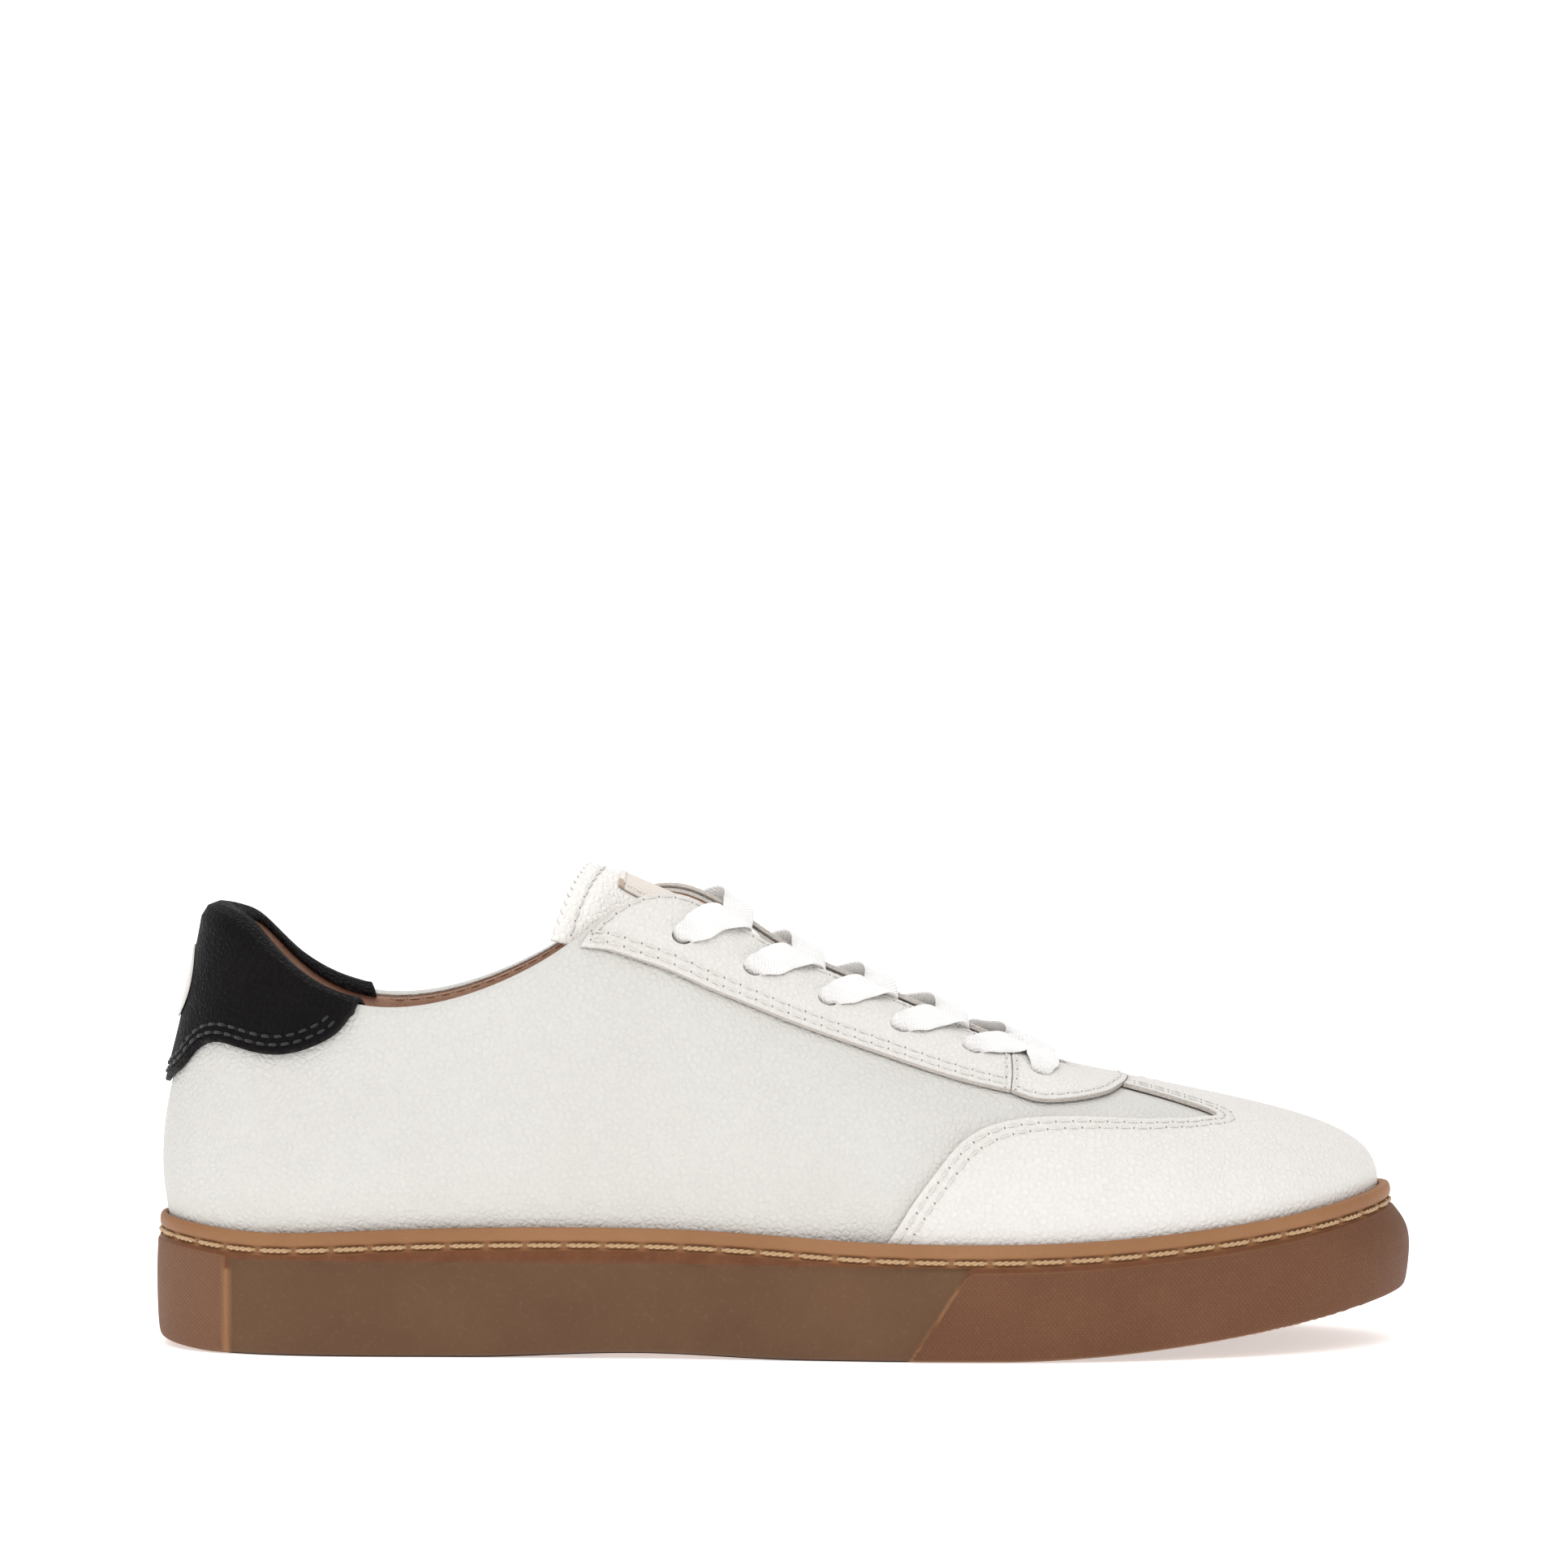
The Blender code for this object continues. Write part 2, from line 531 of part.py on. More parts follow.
FLOOR_V = -LIP_DROP
INNER_TOP_V = WALL_V + ROLL_V
INNER_FLOOR_V = INNER_TOP_V + WALL_V + LIP_DROP
COLLAR_V = WALL_V + ROLL_V / 2


def otherSide(points):
    """The same plan points on the medial side of the toe's middle line."""
    return [(x, 2 * (2 + 0.11 * max(0, x - 80)) - y) for x, y in points]


def chartX(side, x, t=1.0):
    """Chart u where a side's line at height t passes x."""
    span = (0, TOE_U) if side < 0 else (TOE_U, PERIMETER)
    us = np.linspace(*span, 700)
    xs = wall(us, np.full(700, t))[:, 0]
    order = np.argsort(xs)
    return float(np.interp(x, xs[order], us[order]))


def innerSide(points):
    """Chart points carried straight through the wall to the lining's face."""
    return [(u, INNER_TOP_V + WALL_V - v) for u, v in points]


def heelward(points):
    """Medial chart points counted down from the heel line, so one outline can cross it."""
    return [(u - PERIMETER, v) for u, v in points]


# Seam lines on the chart.
stayEdge = {s: even(sideLine(s, EYESTAY_EDGE), CAD_STEP) for s in (-1, 1)}
vampEdge = {s: even(sideLine(s, VAMP_EDGE), CAD_STEP) for s in (-1, 1)}
vampTip = {-1: even(planLine([(84, -26.5)] + VAMP_TIP), 6),
           1: even(planLine(otherSide([(84, -26.5)] + VAMP_TIP)), 6)}
for s in (-1, 1):
    vampTip[s][0] = vampEdge[s][-1]
throatPlan = [(76.1, -20), (78.7, -13.7), (80.3, -9), (81.3, -3.5)]
throatFront = planLine(throatPlan) + planLine([(81.7, 2.2)]) + planLine(otherSide(throatPlan))[::-1]
tabEdge = {s: even(sideLine(s, TAB_EDGE), CAD_STEP) for s in (-1, 1)}
holes = {s: [locate(s, x, z) for x, z in EYELETS] for s in (-1, 1)}
fromToe = {s: holes[s][::-1] for s in (-1, 1)}


def frontEdge(side):
    """Front edge of the quarter, hidden under the vamp."""
    hidden = sideLine(side, [(34, 30), (40, 40), (50, 47), (64, 49), (84, 48)])
    plan = [(108, -17), (112, -11), (107, -5.5), (96, -3.2), (84, -2.6)]
    hidden += planLine(plan if side < 0 else otherSide(plan))
    return even(hidden, CAD_STEP)


def quarterLoop(side):
    heel = 0.0 if side < 0 else PERIMETER
    front = frontEdge(side)
    end = front[-1]
    top = [(chartX(side, x), v) for x, v in ((66.3, WALL_V), (62, WALL_V), (45, WALL_V), (20, WALL_V),
                                             (-8, WALL_V), (-28, WALL_V), (-37, WALL_V), (-47, COLLAR_V))]
    return outline(straight((heel, COLLAR_V), (heel, FLOOR_V)),
                   straight((heel, FLOOR_V), (front[0][0], FLOOR_V)),
                   straight((front[0][0], FLOOR_V), front[0])[:-1], front,
                   straight(end, top[0]), *[straight(a, b) for a, b in zip(top, top[1:])],
                   straight(top[-1], (chartX(side, -100), COLLAR_V)),
                   straight((chartX(side, -100), COLLAR_V), (heel, COLLAR_V))[:-1])


def puffLoop():
    """Level of the quarters in the toe, between their front edges."""
    left, right = frontEdge(-1), frontEdge(1)
    top = straight((chartX(-1, 66.3), WALL_V), (chartX(1, 66.3), WALL_V))
    return outline(left, straight(left[-1], top[0]), top, straight(top[-1], right[-1]),
                   right[::-1], straight(right[0], (right[0][0], FLOOR_V)),
                   straight((right[0][0], FLOOR_V), (left[0][0], FLOOR_V)),
                   straight((left[0][0], FLOOR_V), left[0])[:-1])


def stayLoop(side):
    edge = stayEdge[side]
    rear, seam = chartX(side, -47.0), chartX(side, 52.8)
    peak = [(seam, WALL_V), *[(chartX(side, x), WALL_V) for x in (45, 20, -8, -28, -37)], (rear, WALL_V - .5)]
    return outline(edge, straight(edge[-1], (seam, WALL_V)),
                   *[straight(a, b) for a, b in zip(peak, peak[1:])], straight(peak[-1], edge[0])[:-1])


def throatLoop():
    rim = [(57.5, 59.5), (65.2, 58.8), (71.1, 59.2)]
    front = [stayEdge[-1][-1], *sideLine(-1, rim), *throatFront, *sideLine(1, rim)[::-1], stayEdge[1][-1]]
    seams = [chartX(s, 52.8) for s in (-1, 1)]
    return outline(front, straight(stayEdge[1][-1], (seams[1], WALL_V)),
                   straight((seams[1], WALL_V), (seams[0], WALL_V)),
                   straight((seams[0], WALL_V), stayEdge[-1][-1])[:-1])


def vampLoop():
    left, right = vampEdge[-1], vampEdge[1]
    back = throatFront[2:-2]
    return outline(straight((left[0][0], FLOOR_V), left[0])[:-1], left, vampTip[-1],
                   straight(vampTip[-1][-1], back[0]), back,
                   straight(back[-1], vampTip[1][-1]), vampTip[1][::-1], right[::-1],
                   straight(right[0], (right[0][0], FLOOR_V)),
                   straight((right[0][0], FLOOR_V), (left[0][0], FLOOR_V))[:-1])


def tabLoop():
    """Heel tab, over the collar's top edge and a little way down inside."""
    left = tabEdge[-1]
    right = np.array(heelward(tabEdge[1]))
    stops = ((-100.6, WALL_V), (-99.4, COLLAR_V), (-98.6, INNER_TOP_V - 1))
    over = [tuple(left[-1]), *[(chartX(-1, x), v) for x, v in stops],
            *[(chartX(1, x) - PERIMETER, v) for x, v in stops[::-1]], tuple(right[-1])]
    return outline(left, *[straight(a, b) for a, b in zip(over, over[1:])], right[::-1], [(0.0, 33.5)])


def liningLoop(rear):
    """Lining of the quarters (rear) or of the vamp, split under the eyestays."""
    split = [chartX(-1, 18.4), chartX(1, 18.4)]
    if not rear:
        return outline(straight((split[0], INNER_TOP_V), (split[1], INNER_TOP_V)),
                       straight((split[1], INNER_TOP_V), (split[1], INNER_FLOOR_V)),
                       straight((split[1], INNER_FLOOR_V), (split[0], INNER_FLOOR_V)),
                       straight((split[0], INNER_FLOOR_V), (split[0], INNER_TOP_V))[:-1])
    left, right = split[0], split[1] - PERIMETER
    stops = ((-28, INNER_TOP_V), (-37, INNER_TOP_V), (-42, INNER_TOP_V), (-49, COLLAR_V))
    top = [(chartX(-1, x), v) for x, v in stops]
    mirror = [(chartX(1, x) - PERIMETER, v) for x, v in stops[::-1]]
    ring = [(left, INNER_TOP_V), *top, *mirror, (right, INNER_TOP_V), (right, INNER_FLOOR_V),
            (left, INNER_FLOOR_V)]
    return outline(*[straight(a, b)[:-1] for a, b in zip(ring, ring[1:] + ring[:1])])


def makeCollarFoam(material):
    """Foam between quarter and lining, folded over the collar's top edge."""
    left, right = chartX(-1, -56), chartX(1, -56) - PERIMETER
    step = PERIMETER / AROUND
    u = np.arange(math.floor(left / step), math.ceil(right / step) - 1, -1) * step
    low = WALL_V * .62
    v = np.array([low, 56, WALL_V, WALL_V + ROLL_V * .25, COLLAR_V,
                  WALL_V + ROLL_V * .75, INNER_TOP_V, INNER_TOP_V + 14,
                  INNER_TOP_V + WALL_V - low])
    rings = []
    for here in u:
        depth = np.where(v < COLLAR_V, -LEATHER, -LINING) - .6
        rings.append(section(np.full(len(v), here), v, depth))
    n, count = len(v), len(u)
    faces = [(i * n + k, (i + 1) * n + k, (i + 1) * n + (k + 1) % n, i * n + (k + 1) % n)
             for i in range(count - 1) for k in range(n)]
    faces += [tuple(range(n)), tuple(reversed(range((count - 1) * n, count * n)))]
    return addObject("collar_foam", np.vstack(rings), [tuple(reversed(f)) for f in faces], material)


def under(u, t, depth):
    """Point inside the shoe, a given depth past the lining's face."""
    u, t = np.atleast_1d(u), np.atleast_1d(t)
    return wall(u, t) - wallNormal(u, t) * (buildUp(u, t) + depth)[:, None]


def tongueRail(x):
    """Cross-section of the tongue's outer face at one x: 13 points, spread by true length."""
    ridge = [x, 0.6, float(tongueLine(x)[0, 0])]
    if x < -40:
        back = (-43 - x) / 17
        half = [(8, 2.1), (15, 6.1), (19.8, 10.9), (22.6, 17), (24, 25)]
        sides = {s: [np.array([x, s * (y + back * y * .22), ridge[2] - drop * (1 - .08 * back)])
                     for y, drop in half] for s in (-1, .96)}
        sides[1] = sides.pop(.96)
    elif x < 58:
        levels = (1.0, .9, .78, .64, .5)
        sides = {s: [under(chartX(s, x, t), t, TONGUE_CLEAR)[0] for t in levels] for s in (-1, 1)}
    else:
        sides = {}
        for s in (-1, 1):
            spots = [locate(s, x, 2 + s * y, (0, 1)) for y in (13, 20, 27, 33)]
            sides[s] = [under(u, v / WALL_V, TONGUE_CLEAR)[0] for u, v in spots]
    line = np.array(sides[-1][::-1] + [ridge] + sides[1])
    middle = len(sides[-1])
    length = np.concatenate([[0], np.cumsum(np.linalg.norm(np.diff(line, axis=0), axis=1))])
    width = tongueWidth(x)
    return Spline(length, line)(length[middle] + np.linspace(-width, width, 13))


def tongueWidth(x):
    return 33 - 5 * smooth(x, -45, 70)


railX = [-60, -51, -43, -36, -28, -18, -4, 12, 28, 44, 56, 66, 74]
rails = Spline(railX, [tongueRail(x).ravel() for x in railX])
railSpread = Spline(np.linspace(-1, 1, 13), np.eye(13))


def tongueOut(x, q, depth=0.0):
    """Point of the tongue: x along it, q from -1 (lateral edge) to 1, depth out from its face."""
    def face(x, q):
        return (railSpread(q)[:, :, None] * rails(x).reshape(-1, 13, 3)).sum(1)
    x, q = np.atleast_1d(x).astype(float), np.atleast_1d(q).astype(float)
    here = face(x, q)
    n = np.cross(face(x + .5, q) - face(x - .5, q), face(x, q + .02) - face(x, q - .02))
    n /= np.linalg.norm(n, axis=1)[:, None]
    return here + n * np.reshape(depth, (-1, 1))


def tongueRear(q):
    """Rear edge of the tongue across its width, blunt in the middle."""
    return -46.6 - 9.0 * (np.sqrt(np.square(q) + .01) - .1)


def tongueLoop(inset, front):
    """Plan of a tongue layer as x and q, set in from the rear and side edges."""
    edge = 1 - inset / 32
    q = np.array([edge] + [k / 6 for k in range(5, -6, -1)] + [-edge])
    along = [x for x in range(-45, 72, 9) if x < front - 3]
    return outline(np.column_stack([tongueRear(q) + inset, q * 30]),
                   [(x, -edge * 30) for x in along], [(front, 30 * k) for k in q[::-1]],
                   [(x, edge * 30) for x in along[::-1]])


def tongueLayer(name, loop, low, high, material):
    grid = np.array([(x, 5 * k) for x in range(-54, 74, 9) for k in range(-6, 7)], float)
    points, faces = fill(np.asarray(loop), 5, grid=grid)
    x, q = points[:, 0], points[:, 1] / 30
    lower = tongueOut(x, q, low(x, q) if callable(low) else low)
    upper = tongueOut(x, q, high(x, q) if callable(high) else high)
    return addObject(name, *closeShell(lower, upper, faces), material)


def tonguePad(x, q):
    """Foam thickness: full in the middle, thin at the edges and at the seam."""
    return .8 + 3.6 * (1 - np.abs(q) ** 4) * smooth(x, -44, -36) * (1 - smooth(x, 30, 62))


def laceSpot(side, x, v, depth):
    """Point over (depth above 0) or under the throat's edge panels, at one x and chart height."""
    u = chartX(side, x, v / WALL_V)
    return section(u, v, depth)[0] if depth > 0 else under(u, v / WALL_V, -depth)[0]


def crossing(side, row, over):
    """Lace from under one hole, through the throat, to above the next hole on the other side."""
    x0, x1 = EYELETS[-1 - row][0], EYELETS[-2 - row][0]
    v0, v1 = fromToe[side][row][1], fromToe[-side][row + 1][1]
    step, top = x1 - x0, LEATHER + OVER + LACE_LIFT
    shift = step * .14 * (row == 0)      # the throat narrows beside the first holes
    marks = [x0 + shift + step * f for f in (.06, .12, .2)]
    ridge = [float(tongueLine(x)[0, 0]) for x in marks]
    return [laceSpot(side, x0 + shift + step * .02, v0 + 3.5, -LACE_LIFT),
            laceSpot(side, x0 + shift + step * .04, WALL_V - 2, -LACE_LIFT - .2),
            np.array([marks[0], side * 7.5 + .8, ridge[0] + .9]),
            np.array([marks[1], .8, ridge[1] + (3.2 if over else 1.3)]),
            np.array([marks[2], -side * 7.5 + .8, ridge[2] + 4.4]),
            laceSpot(-side, x1 + 10.6, WALL_V - .4, top + .6),
            laceSpot(-side, x1 + 7.2, v1 + (WALL_V - v1) * .68, top + .3),
            laceSpot(-side, x1 + 3.0, v1 + 2.6, top)]


def throughHole(side, row):
    """Straight run down through a hole."""
    u, v = fromToe[side][row]
    above = section(u, v, LEATHER + OVER + .9)[0]
    below = under(u, v / WALL_V, 1.3)[0]
    return [above + (below - above) * f for f in (.08, .36, .64, .92)]


def laceEnd(side):
    """Tucked end: from the top hole down between lining and tongue."""
    x = EYELETS[0][0]
    return [under(chartX(side, x + 1 + k * 4, t), t, 1.8 + .5 * (k > 1) + .5 * (k > 3) + .5 * (k > 4))[0]
            for k, t in enumerate((.80, .70, .60, .50, .40, .30))]


def lacePath():
    """Middle line of the lace from end to end."""
    halves = []
    for start in (-1, 1):
        half, side = throughHole(start, 0), start
        for row in range(len(EYELETS) - 1):
            half += crossing(side, row, (row + (start > 0)) % 2 == 0)
            side = -side
            half += throughHole(side, row + 1)
        halves.append(half + laceEnd(side))
    x = EYELETS[-1][0]
    top, v = LEATHER + OVER + LACE_LIFT, fromToe[-1][0][1]
    ridge = float(tongueLine(x)[0, 0])
    bar = [laceSpot(-1, x, v + 4, top), laceSpot(-1, x, WALL_V - 1, top + .4),
           np.array([x, 1.2, ridge + 5.6]), laceSpot(1, x, WALL_V - 1, top + .4), laceSpot(1, x, v + 4, top)]
    return np.array(halves[0][::-1] + bar + halves[1])


def laceFrames(step):
    """Even points along the lace with their width directions and how far each is from a hole."""
    path = lacePath()
    chord = np.linalg.norm(np.diff(path, axis=0), axis=1)
    knots = np.concatenate([[0], np.cumsum(chord ** .6)])
    curve = Spline(knots, path)
    fine = curve(np.linspace(0, knots[-1], 4000))
    length = np.concatenate([[0], np.cumsum(np.linalg.norm(np.diff(fine, axis=0), axis=1))])
    centres = [(section(u, v, 0) + under(u, v / WALL_V, 0))[0] / 2 for s in (-1, 1) for u, v in holes[s]]
    near = np.min([np.linalg.norm(fine - c, axis=1) for c in centres], axis=0)
    weight = np.where(near < 7, 2.2, 1.0)
    travel = np.concatenate([[0], np.cumsum(np.diff(length) * weight[1:])])
    at = np.interp(np.linspace(0, travel[-1], int(travel[-1] / step)), travel, np.arange(4000))
    pick = np.column_stack([np.interp(at, np.arange(4000), fine[:, k]) for k in range(3)])
    along = np.gradient(pick, axis=0)
    along /= np.linalg.norm(along, axis=1)[:, None]
    slope = (tongueLine(pick[:, 0] + 1)[:, 0] - tongueLine(pick[:, 0] - 1)[:, 0]) / 2
    across = np.column_stack([np.ones(len(pick)), np.zeros(len(pick)), slope])
    across -= along * (across * along).sum(1)[:, None]
    across /= np.linalg.norm(across, axis=1)[:, None]
    near = np.min([np.linalg.norm(pick - c, axis=1) for c in centres], axis=0)
    return pick, along, across, near


def makeRod(name, start, stop, radius, material):
    """Eight-sided rod between two points."""
    along = (stop - start) / np.linalg.norm(stop - start)
    side = np.cross(along, [1, 0, 0])
    side /= np.linalg.norm(side)
    up = np.cross(along, side)
    turn = np.arange(8) * math.pi / 4
    ring = radius * (np.cos(turn)[:, None] * side + np.sin(turn)[:, None] * up)
    faces = [(k, (k + 1) % 8, (k + 1) % 8 + 8, k + 8) for k in range(8)]
    faces += [tuple(range(7, -1, -1)), tuple(range(8, 16))]
    return addObject(name, np.vstack([start + ring, stop + ring]), faces, material)


def makeLace(material):
    centre, along, across, near = laceFrames(LACE_STEP)
    wide = 1.5 + (LACE_WIDTH / 2 - 1.5) * smooth(near, 2.6, 8.0)
    thick = LACE_THICKNESS / 2 + .25 * (1 - smooth(near, 2.4, 4))
    up = np.cross(across, along)
    shape = [(1, 0), (.86, 1), (-.86, 1), (-1, 0), (-.86, -1), (.86, -1)]
    rings = [centre + across * (wide * a)[:, None] + up * (thick * b)[:, None] for a, b in shape]
    n, m = len(centre), len(shape)
    points = np.stack(rings, axis=1).reshape(-1, 3)
    faces = [(i * m + k, i * m + (k + 1) % m, (i + 1) * m + (k + 1) % m, (i + 1) * m + k)
             for i in range(n - 1) for k in range(m)]
    faces += [tuple(reversed(range(m))), tuple(range((n - 1) * m, n * m))]
    return addObject("shoelace", points, [tuple(reversed(f)) for f in faces], material)


def holesIn(side, inner=False):
    """Outlines of one side's lace holes, on the outer face or on the lining's."""
    loops = []
    for u, v in holes[side]:
        loop = roundHole(u, v, EYELET_RADIUS)
        loops.append(np.array(innerSide(loop)) if inner else loop)
    return loops


makeCup(gum)
planPlate("foam_midsole", 3.4, lambda x: treadHeight(x) + CUP_FLOOR + .5,
          lambda x: boardHeight(x) - GAP, foam)
planPlate("lasting_board", 5.8, boardHeight, lambda x: boardHeight(x) + BOARD, board)
planPlate("footbed", 6.4, lambda x: boardHeight(x) + BOARD + GAP,
          lambda x: boardHeight(x) + BOARD + GAP + FOOTBED, tan)

threadU = np.linspace(0, PERIMETER, AROUND, endpoint=False)
row = lines(threadU)
threadLine = np.column_stack([row[:, :2] + outward(threadU) * (lipOut(row[:, 0]) - .15)[:, None],
                              rimHeight(row[:, 0]) - GROOVE_BELOW_RIM])
makeRingTube("sole_stitching", threadLine, .6, 6, waxed)

for side, name in ((-1, "lateral"), (1, "medial")):
    chartPanel("quarter_" + name, shrink(quarterLoop(side), .16), -LEATHER, 0, white, holes=holesIn(side))
    chartPanel("eyestay_" + name, shrink(stayLoop(side), .16), OVER, OVER + LEATHER, white,
               holes=holesIn(side)[:5])
chartPanel("toe_puff", shrink(puffLoop(), .16), -LEATHER, 0, board)
chartPanel("throat_piece", shrink(throatLoop(), .16), OVER + .15, OVER + .15 + LEATHER, white,
           holes=[holesIn(s)[5] for s in (-1, 1)])
chartPanel("vamp", shrink(vampLoop(), .16), OVER, OVER + LEATHER, white)
chartPanel("heel_tab", shrink(tabLoop(), .16), OVER + .15, OVER + .15 + LEATHER, black)
chartPanel("quarter_lining", shrink(liningLoop(True), .16), -LINING, 0, tan,
           holes=[h for s in (-1, 1) for h in
                  [x - ([PERIMETER, 0] if s > 0 else [0, 0]) for x in holesIn(s, inner=True)[:3]]])
chartPanel("vamp_lining", shrink(liningLoop(False), .16), -LINING, 0, tan,
           holes=[h for s in (-1, 1) for h in holesIn(s, inner=True)[3:]])
makeCollarFoam(foam)
chartPanel("heel_counter", shrink(outline(straight((-54, FLOOR_V + 1), (54, FLOOR_V + 1)),
                                          straight((54, FLOOR_V + 1), (54, 24)),
                                          straight((54, 24), (-54, 24)),
                                          straight((-54, 24), (-54, FLOOR_V + 1))[:-1]), .1),
           lambda u, v: -(buildUp(u, np.clip(v / WALL_V, -1, 1)) - LINING - GAP), -LEATHER - GAP, board)
tongueLayer("tongue_face", tongueLoop(0, 72), -1.0, 0, white)
label = outline([(x, 9) for x in (-37, -29, -21.5)], [(-21.5, q) for q in (5, 0, -5)],
                [(x, -9) for x in (-21.5, -29, -37)], [(-37, q) for q in (-5, 0, 5)])
tongueLayer("tongue_label", label, .3, .9, white)
tongueLayer("tongue_foam", tongueLoop(5, 70), lambda x, q: -1.3 - tonguePad(x, q), -1.3, foam)
tongueLayer("tongue_lining", tongueLoop(1.5, 71), lambda x, q: -2.4 - tonguePad(x, q),
            lambda x, q: -1.6 - tonguePad(x, q), tan)
badge = roundHole(0.0, 57.0, 9.0, 16)
chartPanel("heel_badge", badge, 2 * OVER + LEATHER, 2 * OVER + LEATHER + .5, plastic)
makeLace(cotton)

laceMiddle, laceAlong, _, _ = laceFrames(LACE_STEP)
for end, name in ((0, "aglet_medial"), (-1, "aglet_lateral")):
    tipWay = laceAlong[end] * (-1 if end == 0 else 1)
    makeRod(name, laceMiddle[end] + tipWay * .4, laceMiddle[end] + tipWay * 16, 1.2, plastic)
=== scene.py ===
import math

import bpy
import numpy as np
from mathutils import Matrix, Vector
from mathutils.geometry import delaunay_2d_cdt


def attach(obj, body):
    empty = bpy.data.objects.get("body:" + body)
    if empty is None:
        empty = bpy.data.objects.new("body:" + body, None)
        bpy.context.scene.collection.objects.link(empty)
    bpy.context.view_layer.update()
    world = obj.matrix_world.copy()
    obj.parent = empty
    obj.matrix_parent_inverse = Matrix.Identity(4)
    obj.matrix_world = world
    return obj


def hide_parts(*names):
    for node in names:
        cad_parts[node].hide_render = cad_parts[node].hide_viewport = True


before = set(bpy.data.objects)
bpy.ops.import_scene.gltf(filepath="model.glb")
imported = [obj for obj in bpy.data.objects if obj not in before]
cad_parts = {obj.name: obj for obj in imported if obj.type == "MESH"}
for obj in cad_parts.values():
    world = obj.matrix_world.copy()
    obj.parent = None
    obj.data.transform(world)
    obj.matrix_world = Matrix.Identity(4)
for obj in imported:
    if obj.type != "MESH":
        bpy.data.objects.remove(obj)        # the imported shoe: every CAD node, body and joint
for name in ("Cube", "Camera", "Light"):     # Blender's own start-up objects
    if name in bpy.data.objects:
        bpy.data.objects.remove(bpy.data.objects[name])
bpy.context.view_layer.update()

# Lengths below are millimetres; makePiece turns them into metres.
mm = 0.001
leather, over, lining = 1.2, 0.45, 0.8       # gauges and the step under an overlay
wallV, rollV, lipDrop = 70.0, 10.0, 13.0     # heights of the chart: wall, rolled edge, inside the cup
cupFloor, boardThick, footbedThick = 5.0, 1.4, 4.5
grooveBelowRim = 4.2
laceLift, tongueClear = 1.3, 3.2
eyeletRadius = 2.3
innerTop = wallV + rollV
innerFloor = innerTop + wallV + lipDrop
collarV = wallV + rollV / 2
collarSeam = collarV + 2.9                   # leather rolls over the collar down to here

